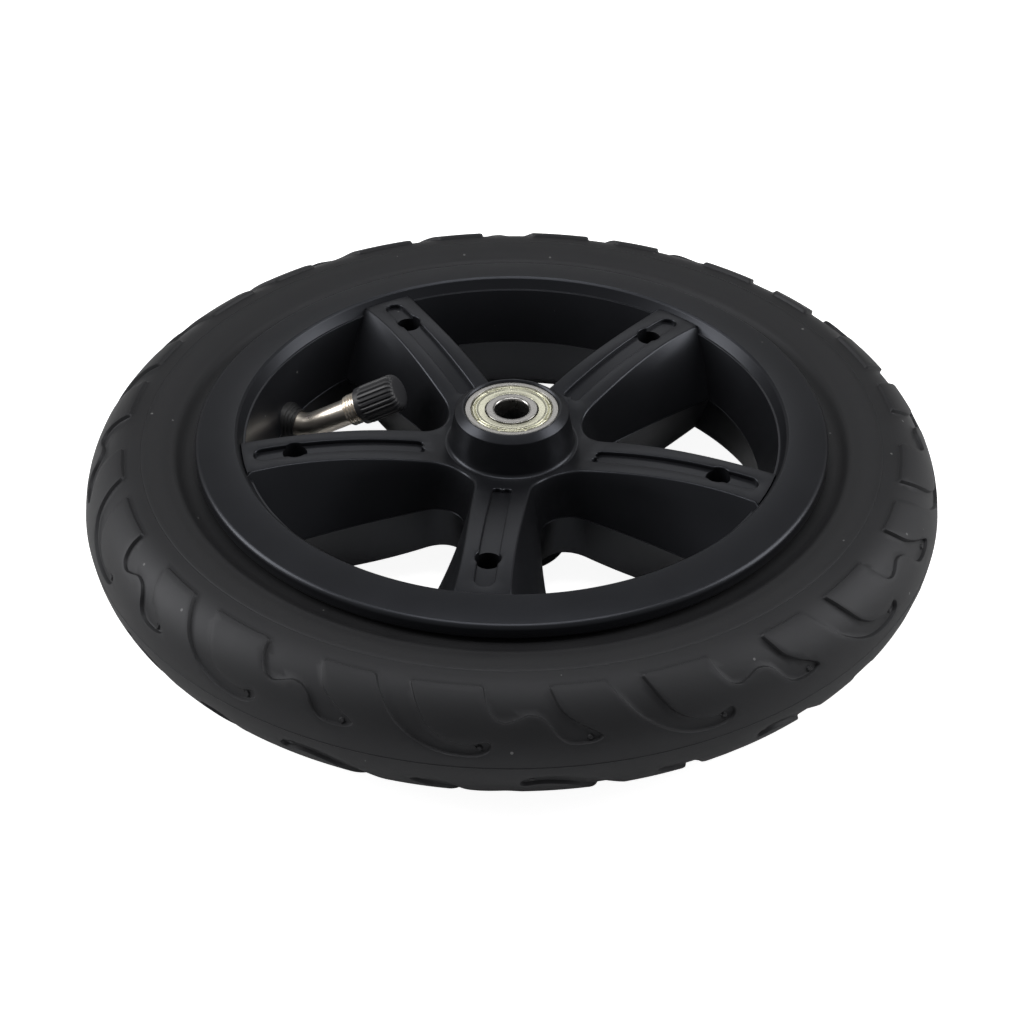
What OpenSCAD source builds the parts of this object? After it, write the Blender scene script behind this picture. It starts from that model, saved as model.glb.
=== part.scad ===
// Pneumatic scooter wheel, 200 x 30 mm: a split five-spoke plastic rim bolted round
// a tyre and an inner tube, on two shielded ball bearings with a spacer between them.
// The wheel lies flat. Z is the axle axis, and z = 0 is the plane where the two rim
// halves meet. The front half, with the valve bent towards it, is on +Z.

/* [Tyre] */
// Outside diameter of the tyre over its tread
tyre_od = 200; // [197:0.5:204]
// Width of the tyre's round section
tyre_section = 29.9; // [29:0.1:31]
// Thickness of the tyre casing round the tube
casing_t = 2.9; // [2.3:0.1:3.3]
// Height of the tread blocks above the groove floors
tread_h = 0.9; // [0.5:0.1:1.2]
// Angle round the section from the crown to the shoulder edge of the tread
tread_edge_deg = 68.5; // [64:0.5:72]
// Number of times the tread pattern repeats round each side
tread_repeats = 12; // [10:1:13]
// Azimuth where the front side's pattern starts
tread_front_phase = 12.2; // [0:0.1:30]
// Azimuth where the back side's pattern starts
tread_back_phase = 16.4; // [0:0.1:30]
// Thickness of the tyre's foot, from its rim side to its inner side
bead_w = 4.9; // [4.4:0.1:5.3]
// Diameter of the steel bundle in each foot of the tyre
bead_wire_d = 2.4; // [1.8:0.1:2.8]

/* [Inner tube] */
// Wall thickness of the inner tube
tube_t = 1.4; // [1:0.1:1.8]
// Gap between the tube and what it fills
tube_gap = 0.3; // [0.2:0.05:0.4]

/* [Rim] */
// Diameter on which the feet of the tyre sit
bead_seat_d = 134; // [133:0.5:135]
// Distance between the inner walls of the two flanges
bead_channel_w = 22; // [21:0.1:23]
// Outside diameter of the flanges
flange_od = 147.3; // [146:0.1:148]
// Distance from the middle plane to the top of a flange at its inner edge
flange_z = 16.4; // [15.8:0.1:17]
// Drop of the flange's top face from its inner to its outer edge
flange_drop = 1.1; // [0.6:0.1:1.4]
// Diameter of the barrel's mouth, at the inner edge of the flange
barrel_mouth_d = 128.6; // [127.6:0.1:129.2]
// Diameter of the barrel's waist, where the halves meet
barrel_waist_d = 118; // [117:0.5:120]
// Diameter of the well between the feet of the tyre
well_d = 125.6; // [125:0.1:127]
// Distance from the middle plane to the small step inside the barrel
barrel_step_z = 13.6; // [13:0.1:14]
// Width of the small step inside the barrel
barrel_step = 0.5; // [0.3:0.1:0.8]
// Clearance between the tyre's feet and the rim
bead_gap = 0.1; // [0.05:0.05:0.2]

/* [Spokes] */
// Number of spokes
spokes = 5; // [4:1:5]
// Azimuth of the first spoke
spoke_phase = 48.3; // [0:0.1:72]
// Width of a spoke across its front face
spoke_front_w = 11.3; // [10:0.1:12]
// Width of a spoke across its back face
spoke_back_w = 14; // [11:0.1:14.4]
// Width of a spoke at the hub, where the halves meet
spoke_hub_w = 17.6; // [16.4:0.1:18.4]
// Width of a spoke at the barrel, where the halves meet
spoke_barrel_w = 30.7; // [26:0.1:32]
// Share of that widening that comes in a bow towards the barrel
spoke_bow = 0.4; // [0.1:0.05:0.6]
// Height of a spoke's face above the middle plane at its highest place
crown_z = 15.6; // [14.8:0.05:16]
// Distance from the axle to the highest place of a spoke
crown_r = 51; // [49:0.5:53]
// Radius of the long curve of a spoke's face
crown_curve = 119; // [115:1:130]
// Width of the slot sunk into each spoke
slot_w = 4.4; // [3.6:0.1:5]
// Depth of the slot sunk into each spoke
slot_depth = 1; // [0.6:0.1:1.4]
// Distance from the axle to the inner end of the slot
slot_start_r = 20.9; // [20:0.1:24]
// Distance from the axle to the outer end of the slot
slot_end_r = 60.5; // [57:0.1:61]
// Radius of the window's corner at the hub, on the faces
window_nose_face_r = 9.4; // [8:0.1:10]
// Radius of the window's corner at the hub, where the halves meet
window_nose_mid_r = 6.8; // [6:0.1:8]
// Wall left round the hollow inside each spoke
spoke_wall = 2.6; // [2:0.1:3]

/* [Hub] */
// Length of the hub over both of its noses
hub_len = 40; // [39.6:0.1:41]
// Diameter of the hub's nose
hub_nose_d = 26.7; // [26:0.1:27.5]
// Diameter of the hub's nose where it leaves the spokes
hub_root_d = 29.8; // [29:0.1:30.4]
// Width of the flat lip round the bearing on the hub's nose
hub_lip_w = 0.3; // [0.2:0.1:0.8]
// Drop of the nose's face from that lip to its rounded edge
hub_drop = 1; // [0.2:0.1:1.4]
// Height above the middle plane where the nose leaves the spokes
hub_root_z = 9.8; // [9:0.1:10]
// Diameter of the hub's bore between the bearings
hub_bore_d = 19; // [18:0.1:20]

/* [Screws] */
// Distance from the axle to each screw
screw_r = 51; // [50:0.5:52]
// Diameter of the deep hole over each screw head
screw_well_d = 5.7; // [5.5:0.1:6]
// Diameter of the screw's head
screw_head_d = 5.3; // [5:0.1:5.4]
// Height of the screw's head
screw_head_h = 2.4; // [2:0.1:2.8]
// Diameter of the screw's thread
screw_d = 3; // [2.5:0.1:3.2]
// Length of the screw under its head
screw_len = 16; // [14:0.5:16.5]
// Height of the head's seat above the middle plane
screw_seat_z = 4.5; // [4:0.1:5.5]
// Width of the screw head's hexagon socket, across its corners
screw_socket_d = 2.9; // [2.5:0.1:3]
// Gap round the screw in the front half
screw_gap = 0.25; // [0.15:0.05:0.35]
// Gap round the screw's thread in the back half
thread_gap = 0.02; // [0.01:0.01:0.05]

/* [Bearings] */
// Outside diameter of the bearing
bearing_od = 22; // [21.5:0.1:22.5]
// Bore of the bearing, which the axle fills
bearing_bore = 8; // [7.6:0.1:8.2]
// Width of the bearing
bearing_w = 7; // [6.8:0.1:7.2]
// Diameter of a ball
ball_d = 3.969; // [3.9:0.01:4]
// Number of balls in a bearing
ball_count = 7; // [6:1:7]
// Diameter of the circle that the balls run on
ball_pitch_d = 15; // [14.9:0.05:15.1]
// Gap between a ball and its grooves
ball_gap = 0.08; // [0.05:0.01:0.1]
// Outside diameter of the inner ring
inner_ring_od = 12.1; // [11.9:0.05:12.3]
// Inside diameter of the outer ring, next to its groove
outer_ring_id = 17.9; // [17.7:0.05:18.1]
// Thickness of the cage that spaces the balls
cage_t = 1.2; // [1:0.1:1.4]
// Width that the cage keeps on each side of a ball
cage_edge = 0.55; // [0.4:0.05:0.7]
// Thickness of a shield
shield_t = 0.35; // [0.3:0.05:0.4]
// Diameter of the ledge that holds a shield
shield_seat_d = 19; // [18.8:0.1:19.2]
// Depth of a shield's ledge below the bearing's face
shield_seat_depth = 0.55; // [0.45:0.05:0.6]
// Running gap between a shield and the inner ring
shield_gap = 0.2; // [0.15:0.05:0.3]
// Gap round the outer edge of a shield
shield_fit = 0.05; // [0.03:0.01:0.06]
// Gap between the bearing and its seat in the hub
bearing_fit = 0.01; // [0.005:0.005:0.02]
// Length of the spacer between the two inner rings
spacer_len = 25.14; // [24.8:0.01:25.4]
// Outside diameter of the spacer
spacer_od = 11.6; // [10.8:0.1:11.8]
// Gap between the axle and the bore of the spacer
spacer_bore_gap = 0.1; // [0.05:0.05:0.2]

/* [Valve] */
// Diameter of the hole for the valve through the barrel
valve_hole_d = 10; // [9.4:0.1:10.6]
// Diameter of the plated stem
stem_d = 5.9; // [5.6:0.1:6.2]
// How far the valve stands round from the window's middle, in degrees
valve_aside = 1.3; // [0:0.1:2]
// Height of the rubber collar's steps above the barrel's wall
collar_h = 2.6; // [1.5:0.1:2.8]
// Length of straight stem inside the barrel's wall line before the bend
stem_root_len = 3; // [3:0.1:3.5]
// Bend radius of the stem
stem_bend_r = 8; // [5:0.5:9]
// Bend angle of the stem
stem_bend_deg = 32; // [30:1:36]
// Turn of the bend from the front towards the window's far side
stem_turn_deg = 24; // [0:1:26]
// Length of the straight stem beyond the bend
stem_len = 21.2; // [20:0.1:23]
// Diameter of the thread at the end of the stem
stem_thread_d = 7.7; // [7.4:0.1:7.8]
// Length of the thread at the end of the stem
stem_thread_len = 11.2; // [10:0.1:12]
// Distance between the turns of the thread
stem_thread_pitch = 0.8; // [0.7:0.05:1]
// Diameter of the cap over its ribs
cap_d = 9.4; // [9:0.1:9.8]
// Length of the cap
cap_len = 10.8; // [10:0.1:12]
// Depth of the cap's threaded hole
cap_bore_depth = 8.4; // [7:0.1:8.8]
// Number of grooves between the cap's ribs
cap_grooves = 24; // [18:1:26]
// Radius of the grooves between the cap's ribs
cap_groove_r = 0.32; // [0.2:0.02:0.36]
// Gap between the cap and the thread
cap_gap = 0.1; // [0.05:0.05:0.15]
// Diameter of the threaded bore that holds the valve core
core_bore_d = 4.6; // [4.4:0.1:4.8]
// Diameter of the narrow bore below the valve core
core_barrel_bore_d = 4; // [3.8:0.1:4.2]
// Diameter of the air way through the stem
air_way_d = 2.4; // [2:0.1:2.8]
// Diameter of the pin in the valve core
pin_d = 1.1; // [1:0.05:1.2]
// Travel of the pin
pin_travel = 1; // [0.6:0.1:1.2]
// Diameter of the wire of the valve spring
spring_wire_d = 0.36; // [0.3:0.02:0.4]
// Gap round the small pieces of the valve
valve_fit = 0.05; // [0.03:0.01:0.08]

/* [Hidden] */

$fn = 96;
cut = 1;                        // how far a cutter runs past the face that it cuts

// Colours
rim_black = [0.11, 0.115, 0.125];
rubber_black = [0.16, 0.16, 0.165];
steel_bright = [0.78, 0.78, 0.77];
steel_grey = [0.55, 0.55, 0.55];
nickel = [0.76, 0.72, 0.64];
brass = [0.75, 0.6, 0.3];
cap_black = [0.17, 0.17, 0.18];

// Tyre section
section_r = tyre_section / 2;
section_c = tyre_od / 2 - section_r;
base_r = section_r - tread_h;
cavity_r = section_r - casing_t - tread_h / 2;
bead_seat_r = bead_seat_d / 2;
channel_z = bead_channel_w / 2;
foot_out_z = channel_z - bead_gap;
foot_in_z = foot_out_z - bead_w;
foot_seat_r = bead_seat_r + bead_gap;
foot_side_deg = 35;
wire_r = bead_wire_d / 2;
wire_c = foot_seat_r + bead_w / 2;
wire_gap = 0.05;

// Rim section
flange_r = flange_od / 2;
flange_edge_z = flange_z - flange_drop;
flange_round = 1.3;
mouth_r = barrel_mouth_d / 2;
well_r = well_d / 2;
waist_r = barrel_waist_d / 2;
mouth_chamfer = 0.4;
flange_lip_z = 12.3;
flange_lip_in = 1.1;
well_lean = 0.6;
well_z = foot_in_z - well_lean;
step_r = mouth_r - 1.7;

// Spokes
spoke_pitch = 360 / spokes;
window_az = spoke_pitch / 2;
web_in_r = hub_bore_d / 2 + 3;
web_out_r = mouth_r - mouth_chamfer;
crown_steps = 12;
hollow_start_r = slot_start_r + 2.1;
face_top = flange_z + 4;
flank_steps = 8;

// Screws
screw_end_gap = 0.5;

// Hub and bearings
hub_end_z = hub_len / 2;
hub_chamfer = 0.4;
hub_round = 0.9;
bearing_r = bearing_od / 2;
bearing_in_z = spacer_len / 2;
bearing_mid_z = bearing_in_z + bearing_w / 2;
bearing_out_z = bearing_in_z + bearing_w;
ball_r = ball_d / 2;
groove_r = ball_r + ball_gap;
ball_pitch_r = ball_pitch_d / 2;
cage_half_w = ball_r + cage_edge;
ring_chamfer = 0.3;

// Valve
valve_az = spoke_phase + window_az + spoke_pitch + valve_aside;
stem_r = stem_d / 2;
collar_r = valve_hole_d / 2 - valve_fit;
bend_swell = 0.06;
bend_lap = 0.3;
stem_foot_r = 3.5;
stem_foot_t = 0.8;
stem_foot_at = waist_r - well_r - tube_gap - tube_t - valve_fit;
thread_r = stem_thread_d / 2;
thread_depth = 0.35;
cap_end_gap = 0.3;
cap_seat = stem_len - cap_bore_depth + cap_end_gap;
core_top = stem_len - 1.8;
core_plug_len = 4.2;
core_barrel_len = 5.6;
core_wall = 0.55;
core_seat_t = 0.6;
core_shoulder = stem_len - 6.4;
pin_button_r = 0.95;
pin_button_t = 0.6;
pin_top = core_top + pin_travel + pin_button_t + 2 * valve_fit;
pin_collar_r = 1.15;
pin_collar_t = 0.4;
seal_r = 1.7;
seal_t = 1;
core_bottom = core_top - core_plug_len - core_barrel_len;
core_hollow_top = core_top - core_plug_len;
core_hollow_bottom = core_bottom + core_seat_t;
spring_turns = 6;

// A row of points on an arc, from angle a0 to a1
function arc(cx, cy, r, a0, a1, steps) =
    [for (i = [0 : steps]) let (a = a0 + (a1 - a0) * i / steps) [cx + r * cos(a), cy + r * sin(a)]];

// Height of a spoke's face at the distance r from the axle
function crown(r) = crown_z - pow(r - crown_r, 2) / (2 * crown_curve);

// Points along a spoke's face, lowered by drop, from the hub outwards
function crown_line(drop) =
    [for (i = [0 : crown_steps])
        let (r = web_in_r + (web_out_r + cut - web_in_r) * i / crown_steps)
        [r, crown(r) - drop]];

// ---------- tread ----------

// Local axes for one groove: x round the tyre, y up the section, z out of the rubber
tread_lean = 38;
shoulder_y = section_r * sin(tread_edge_deg - tread_lean);
groove_top = shoulder_y + 2;

// A hook: a crescent between two circles that ends in a round tip
module hook_groove() {
    outer_c = [8.5, 15.1];
    outer_r = 22.4;
    inner_c = [10.15, 9.95];
    inner_r = 14.9;
    tip_c = [11.55, -6.05];
    tip_r = 1.25;
    end_x = tip_c[0] - 0.15;
    difference() {
        translate(outer_c) circle(r = outer_r);
        translate(inner_c) circle(r = inner_r);
        translate([end_x, -section_r]) square([2 * section_r, 3 * section_r]);
        translate([-2 * section_r, groove_top]) square([4 * section_r, 3 * section_r]);
    }
    translate(tip_c) circle(r = tip_r);
}

// A wave: a round bowl at the shoulder that runs out over a hump into a slanted tail
module wave_groove() {
    bowl_c = [-6.2, 5.8];
    bowl_r = 6.05;
    hump = [[1.6, -0.3], [-2.6, 1.6], [bowl_c[0], 1.6]];
    tail_end = [[12, -3.2], [11.4, -4.5], [5.2, -4.3]];
    tail_top = [[bowl_c[0], groove_top], [2.2, groove_top], [2.8, 5.3], [4.5, 2.2], [7.1, 0]];
    intersection() {
        translate(bowl_c) circle(r = bowl_r);
        translate([-2 * bowl_r, -bowl_r]) square([2 * bowl_r, groove_top + bowl_r]);
    }
    polygon(concat(tail_top, tail_end, hump));
}

module groove_cutter(az) {
    rotate([0, 0, az]) translate([section_c, 0, 0]) rotate([0, 90 - tread_lean, 0])
        rotate([0, 0, 90]) linear_extrude(height = section_r + cut) children();
}

module tread_side() {
    pitch = 360 / tread_repeats;
    hook_at = pitch * 0.257;
    wave_at = pitch * 0.71;
    for (i = [0 : tread_repeats - 1]) {
        groove_cutter(i * pitch + hook_at) hook_groove();
        groove_cutter(i * pitch + wave_at) wave_groove();
    }
}

module tread_grooves() {
    intersection() {
        union() {
            rotate([0, 0, tread_front_phase]) tread_side();
            rotate([0, 0, tread_back_phase]) rotate([180, 0, 0]) tread_side();
        }
        rotate_extrude() translate([section_c, 0]) difference() {
            circle(r = section_r + cut);
            circle(r = base_r - 0.1);
        }
    }
}

// ---------- tyre and tube ----------

// Both feet of the tyre and the sidewalls' roots, in one piece across the tyre's mouth
module tyre_feet_2d() {
    chamfer = 0.6;
    root_r = flange_r - 1.2;
    side_r = base_r - casing_t / 4;
    side_pt = [section_c - side_r * sin(foot_side_deg), side_r * cos(foot_side_deg)];
    polygon([
        [foot_seat_r, chamfer - foot_out_z], [foot_seat_r + chamfer, -foot_out_z],
        [root_r, -foot_out_z], [side_pt[0], -side_pt[1]],
        side_pt, [root_r, foot_out_z],
        [foot_seat_r + chamfer, foot_out_z], [foot_seat_r, foot_out_z - chamfer]
    ]);
}

module tyre_section_2d() {
    difference() {
        union() {
            translate([section_c, 0]) circle(r = base_r);
            intersection() {
                translate([section_c, 0]) circle(r = section_r);
                translate([section_c, 0]) polygon([
                    [0, 0],
                    2 * section_r * [cos(tread_edge_deg), -sin(tread_edge_deg)],
                    [2 * section_r, 0],
                    2 * section_r * [cos(tread_edge_deg), sin(tread_edge_deg)]
                ]);
            }
            tyre_feet_2d();
        }
        translate([section_c, 0]) circle(r = cavity_r);
        translate([foot_seat_r - cut, -foot_in_z])
            square([section_c - foot_seat_r + cut, 2 * foot_in_z]);
        for (side = [-1, 1])
            translate([wire_c, side * (foot_out_z - bead_w / 2)]) circle(r = wire_r + wire_gap);
    }
}

module tyre() {
    color(rubber_black) difference() {
        rotate_extrude() tyre_section_2d();
        tread_grooves();
    }
}

// The tube's section, drawn in by inset all round
module tube_2d(inset) {
    gap = tube_gap + inset;
    neck = foot_in_z - gap;
    floor_w = well_z - gap;
    translate([section_c, 0]) circle(r = cavity_r - gap);
    polygon([
        [well_r + gap, -floor_w], [foot_seat_r, -neck], [section_c, -neck],
        [section_c, neck], [foot_seat_r, neck], [well_r + gap, floor_w]
    ]);
}

module inner_tube() {
    color(rubber_black) difference() {
        rotate_extrude() difference() {
            tube_2d(0);
            tube_2d(tube_t);
        }
        on_valve() translate([0, 0, -(well_r + 2 * tube_t) + waist_r])
            cylinder(r = stem_r + valve_fit, h = 3 * tube_t);
    }
}

module bead_wire(side) {
    color(steel_grey) rotate_extrude()
        translate([wire_c, side * (foot_out_z - bead_w / 2)]) circle(r = wire_r);
}

// ---------- rim ----------

module barrel_2d() {
    round_c = [flange_r - flange_round, flange_edge_z - flange_round];
    polygon(concat(
        [
            [waist_r, 0], [step_r - barrel_step, barrel_step_z], [step_r, barrel_step_z],
            [mouth_r - mouth_chamfer, flange_z - mouth_chamfer], [mouth_r, flange_z]
        ],
        arc(round_c[0], round_c[1], flange_round, 80, 0, 4),
        [
            [flange_r, flange_lip_z], [flange_r - flange_lip_in, channel_z],
            [bead_seat_r, channel_z], [bead_seat_r, foot_in_z], [well_r, well_z], [well_r, 0]
        ]
    ));
}

module hub_2d() {
    seat_r = bearing_r + bearing_fit;
    polygon(concat(
        [
            [hub_bore_d / 2, 0], [hub_bore_d / 2, bearing_in_z], [seat_r, bearing_in_z],
            [seat_r, hub_end_z - hub_chamfer], [seat_r + hub_chamfer, hub_end_z],
            [seat_r + hub_chamfer + hub_lip_w, hub_end_z]
        ],
        arc(hub_nose_d / 2 - hub_round, hub_end_z - hub_drop - hub_round, hub_round, 60, 5, 3),
        [[hub_root_d / 2, hub_root_z], [hub_root_d / 2, 0]]
    ));
}

// The spokes' section, which ends inside the barrel's wall
module web_2d() {
    web_foot_r = (waist_r + well_r) / 2;
    polygon(concat([[web_in_r, 0]], crown_line(0), [[web_foot_r, 0]]));
}

// One window's outline, along +X, from the barrel in round the hub's corner and out again.
// hub_w and barrel_w are half a spoke's width at its two ends, and nose_r rounds the corner.
function window_line(hub_w, barrel_w, nose_r) =
    let (
        start = hub_root_d / 2 + 7,
        run = waist_r - 1 - start,
        rise = barrel_w - hub_w,
        lean = atan(rise / run * (1 - spoke_bow)),
        nose_x = (nose_r + hub_w * cos(lean) - start * sin(lean)) / sin(window_az - lean),
        from = nose_x * cos(window_az) + nose_r * sin(lean),
        reach = (mouth_r + 2) / cos(window_az),
        // along and across, measured from the spoke's middle line, in the window's axes
        flank = [for (i = [1 : flank_steps])
            let (a = from + (reach - from) * i / flank_steps, t = (a - start) / run,
                w = hub_w + rise * t * (1 - spoke_bow + spoke_bow * t))
            [a * cos(window_az) + w * sin(window_az), a * sin(window_az) - w * cos(window_az)]],
        nose = arc(nose_x, 0, nose_r, 90 + window_az - lean, 270 - window_az + lean, 8)
    )
    concat(
        [for (i = [flank_steps - 1 : -1 : 0]) flank[i]], nose,
        [for (p = flank) [p[0], -p[1]]]
    );

// A window's cutter: the middle plane's outline drawn over to the face's, point by point
module window_cutter(face_w) {
    mid = window_line(spoke_hub_w / 2, spoke_barrel_w / 2, window_nose_mid_r);
    face = window_line(face_w / 2, face_w / 2, window_nose_face_r);
    n = len(mid);
    rings = [[mid, -cut], [mid, 0], [face, crown_z], [face, face_top]];
    points = [for (ring = rings, p = ring[0]) [p[0], p[1], ring[1]]];
    walls = [for (k = [0 : len(rings) - 2], i = [0 : n - 1]) let (j = (i + 1) % n)
        each [
            [k * n + i, (k + 1) * n + i, (k + 1) * n + j],
            [k * n + i, (k + 1) * n + j, k * n + j]
        ]];
    bottom = [for (i = [0 : n - 1]) i];
    top = [for (i = [n - 1 : -1 : 0]) (len(rings) - 1) * n + i];
    polyhedron(points, concat([bottom], walls, [top]));
}

module windows(face_w) {
    for (i = [0 : spokes - 1]) rotate([0, 0, spoke_phase + i * spoke_pitch + window_az])
        window_cutter(face_w);
}

module pill_2d(x0, x1, w) {
    r = w / 2;
    polygon(concat(arc(x0 + r, 0, r, 90, 270, 10), arc(x1 - r, 0, r, -90, 90, 10)));
}

// The long slots sunk into the spokes' faces, with floors that follow the faces
module face_slots() {
    rotate([0, 0, spoke_phase]) intersection() {
        rotate_extrude() polygon(concat(
            crown_line(slot_depth), [[web_out_r + cut, face_top], [web_in_r, face_top]]
        ));
        union() for (i = [0 : spokes - 1]) rotate([0, 0, i * spoke_pitch])
            linear_extrude(height = face_top) pill_2d(slot_start_r, slot_end_r, slot_w);
    }
}

// The hollow inside each spoke, open towards the other half
module spoke_hollows(face_w) {
    hollow_end_r = screw_r - screw_well_d / 2 - spoke_wall;
    hollow_h = crown(hollow_start_r) - slot_depth - spoke_wall;
    mid_w = spoke_hub_w / 2 - spoke_wall;
    top_w = face_w / 2 + (spoke_hub_w - face_w) / 2 * (1 - hollow_h / crown_z) - spoke_wall;
    rotate([0, 0, spoke_phase]) for (i = [0 : spokes - 1]) rotate([0, 0, i * spoke_pitch])
        translate([hollow_start_r, 0, 0]) rotate([90, 0, 90])
            linear_extrude(height = hollow_end_r - hollow_start_r)
                polygon([
                    [-mid_w, -cut], [-mid_w, 0], [-top_w, hollow_h],
                    [top_w, hollow_h], [mid_w, 0], [mid_w, -cut]
                ]);
}

module at_screws() {
    rotate([0, 0, spoke_phase]) for (i = [0 : spokes - 1]) rotate([0, 0, i * spoke_pitch])
        translate([screw_r, 0, 0]) children();
}

module on_valve() {
    rotate([0, 0, valve_az]) translate([waist_r, 0, 0]) rotate([0, -90, 0]) children();
}

module valve_hole() {
    on_valve() translate([0, 0, -(well_r - waist_r) - cut])
        cylinder(d = valve_hole_d, h = well_r - waist_r + 2 * cut);
}

// One half of the rim, standing on the middle plane
module rim_half(face_w) {
    difference() {
        union() {
            rotate_extrude() barrel_2d();
            difference() {
                rotate_extrude() union() {
                    hub_2d();
                    web_2d();
                }
                windows(face_w);
            }
        }
        face_slots();
        spoke_hollows(face_w);
    }
}

module rim_front() {
    color(rim_black) difference() {
        rim_half(spoke_front_w);
        at_screws() {
            translate([0, 0, screw_seat_z]) cylinder(d = screw_well_d, h = face_top);
            translate([0, 0, -cut]) cylinder(r = screw_d / 2 + screw_gap, h = screw_seat_z + 2 * cut);
        }
        valve_hole();
    }
}

module rim_back() {
    color(rim_black) difference() {
        mirror([0, 0, 1]) rim_half(spoke_back_w);
        at_screws() translate([0, 0, screw_seat_z - screw_len - screw_end_gap])
            cylinder(r = screw_d / 2 + thread_gap, h = screw_len - screw_seat_z + screw_end_gap + cut);
        valve_hole();
    }
}

module clamp_screws() {
    color(steel_grey) at_screws() difference() {
        union() {
            translate([0, 0, screw_seat_z]) cylinder(d = screw_head_d, h = screw_head_h);
            translate([0, 0, screw_seat_z - screw_len]) cylinder(d = screw_d, h = screw_len + cut);
        }
        translate([0, 0, screw_seat_z + screw_head_h / 2])
            cylinder(d = screw_socket_d, h = screw_head_h, $fn = 6);
    }
}

// ---------- bearings ----------

module bearing_spacer() {
    color(steel_grey) rotate_extrude() translate([bearing_bore / 2 + spacer_bore_gap, -bearing_in_z])
        square([spacer_od / 2 - bearing_bore / 2 - spacer_bore_gap, spacer_len]);
}

module outer_ring() {
    half_w = bearing_w / 2;
    ledge_z = half_w - shield_seat_depth;
    color(steel_bright) rotate_extrude() difference() {
        polygon([
            [outer_ring_id / 2, -ledge_z], [shield_seat_d / 2, -ledge_z],
            [shield_seat_d / 2, -half_w], [bearing_r - ring_chamfer, -half_w],
            [bearing_r, -half_w + ring_chamfer], [bearing_r, half_w - ring_chamfer],
            [bearing_r - ring_chamfer, half_w], [shield_seat_d / 2, half_w],
            [shield_seat_d / 2, ledge_z], [outer_ring_id / 2, ledge_z]
        ]);
        translate([ball_pitch_r, 0]) circle(r = groove_r);
    }
}

module inner_ring() {
    half_w = bearing_w / 2;
    bore_r = bearing_bore / 2;
    color(steel_bright) rotate_extrude() difference() {
        polygon([
            [bore_r, -half_w + ring_chamfer], [bore_r + ring_chamfer, -half_w],
            [inner_ring_od / 2, -half_w], [inner_ring_od / 2, half_w],
            [bore_r + ring_chamfer, half_w], [bore_r, half_w - ring_chamfer]
        ]);
        translate([ball_pitch_r, 0]) circle(r = groove_r);
    }
}

module balls() {
    color(steel_bright) for (i = [0 : ball_count - 1]) rotate([0, 0, i * 360 / ball_count])
        translate([ball_pitch_r, 0, 0]) sphere(r = ball_r, $fn = 48);
}

module cage() {
    color(brass) difference() {
        rotate_extrude() translate([ball_pitch_r - cage_t / 2, -cage_half_w])
            square([cage_t, 2 * cage_half_w]);
        for (i = [0 : ball_count - 1]) rotate([0, 0, i * 360 / ball_count])
            rotate([0, 90, 0]) cylinder(r = groove_r, h = bearing_r);
    }
}

// A shield on the side that z points to, with a rolled rim round its outer edge
module shield() {
    low = bearing_w / 2 - shield_seat_depth + shield_fit;
    rolled = shield_seat_d / 2 - shield_fit;
    roll_w = 0.5;
    roll_h = 0.1;
    color(steel_bright) rotate_extrude() polygon([
        [inner_ring_od / 2 + shield_gap, low], [rolled, low], [rolled, low + shield_t + roll_h],
        [rolled - roll_w, low + shield_t + roll_h], [rolled - roll_w, low + shield_t],
        [inner_ring_od / 2 + shield_gap, low + shield_t]
    ]);
}

module at_front_bearing() {
    translate([0, 0, bearing_mid_z]) children();
}

module at_back_bearing() {
    translate([0, 0, -bearing_mid_z]) children();
}

// ---------- valve ----------

// Along the straight part of the stem: z = 0 is where the bend ends
module on_stem() {
    on_valve() rotate([0, 0, -stem_turn_deg]) translate([
        stem_bend_r * (1 - cos(stem_bend_deg)), 0, stem_root_len + stem_bend_r * sin(stem_bend_deg)
    ]) rotate([0, stem_bend_deg, 0]) children();
}

// A round bar or bore that follows the bend of the stem. It is bend_swell thicker than the
// straight lengths, which run bend_lap into it.
module bend(r) {
    on_valve() rotate([0, 0, -stem_turn_deg]) translate([stem_bend_r, 0, stem_root_len])
        rotate([90, 0, 0]) rotate([0, 0, 180 - stem_bend_deg]) rotate_extrude(angle = stem_bend_deg)
            translate([stem_bend_r, 0]) circle(r = r + bend_swell);
}

// The tube's rubber foot in the barrel's hole, which narrows in steps round the stem
module valve_collar() {
    steps = 4;
    first_h = 0.3;
    tip_r = stem_r + 0.7;
    root_z = -(well_r - waist_r);
    color(rubber_black) on_valve() difference() {
        union() {
            translate([0, 0, root_z]) cylinder(r = collar_r, h = first_h - root_z);
            for (i = [1 : steps - 1])
                cylinder(
                    r = collar_r + (tip_r - collar_r) * i / (steps - 1),
                    h = first_h + (collar_h - first_h) * i / (steps - 1)
                );
        }
        translate([0, 0, root_z - cut]) cylinder(r = stem_r + valve_fit, h = collar_h - root_z + 2 * cut);
    }
}

module stem_outline_2d() {
    turns = floor(stem_thread_len / stem_thread_pitch);
    polygon(concat(
        [[0, -bend_lap], [stem_r, -bend_lap], [stem_r, stem_len - stem_thread_len - 0.6]],
        [for (i = [0 : turns - 1], k = [0, 1])
            let (z = stem_len - stem_thread_len + (i + k / 2) * stem_thread_pitch)
            [thread_r - k * thread_depth, z]],
        [[thread_r - thread_depth, stem_len], [0, stem_len]]
    ));
}

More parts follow.
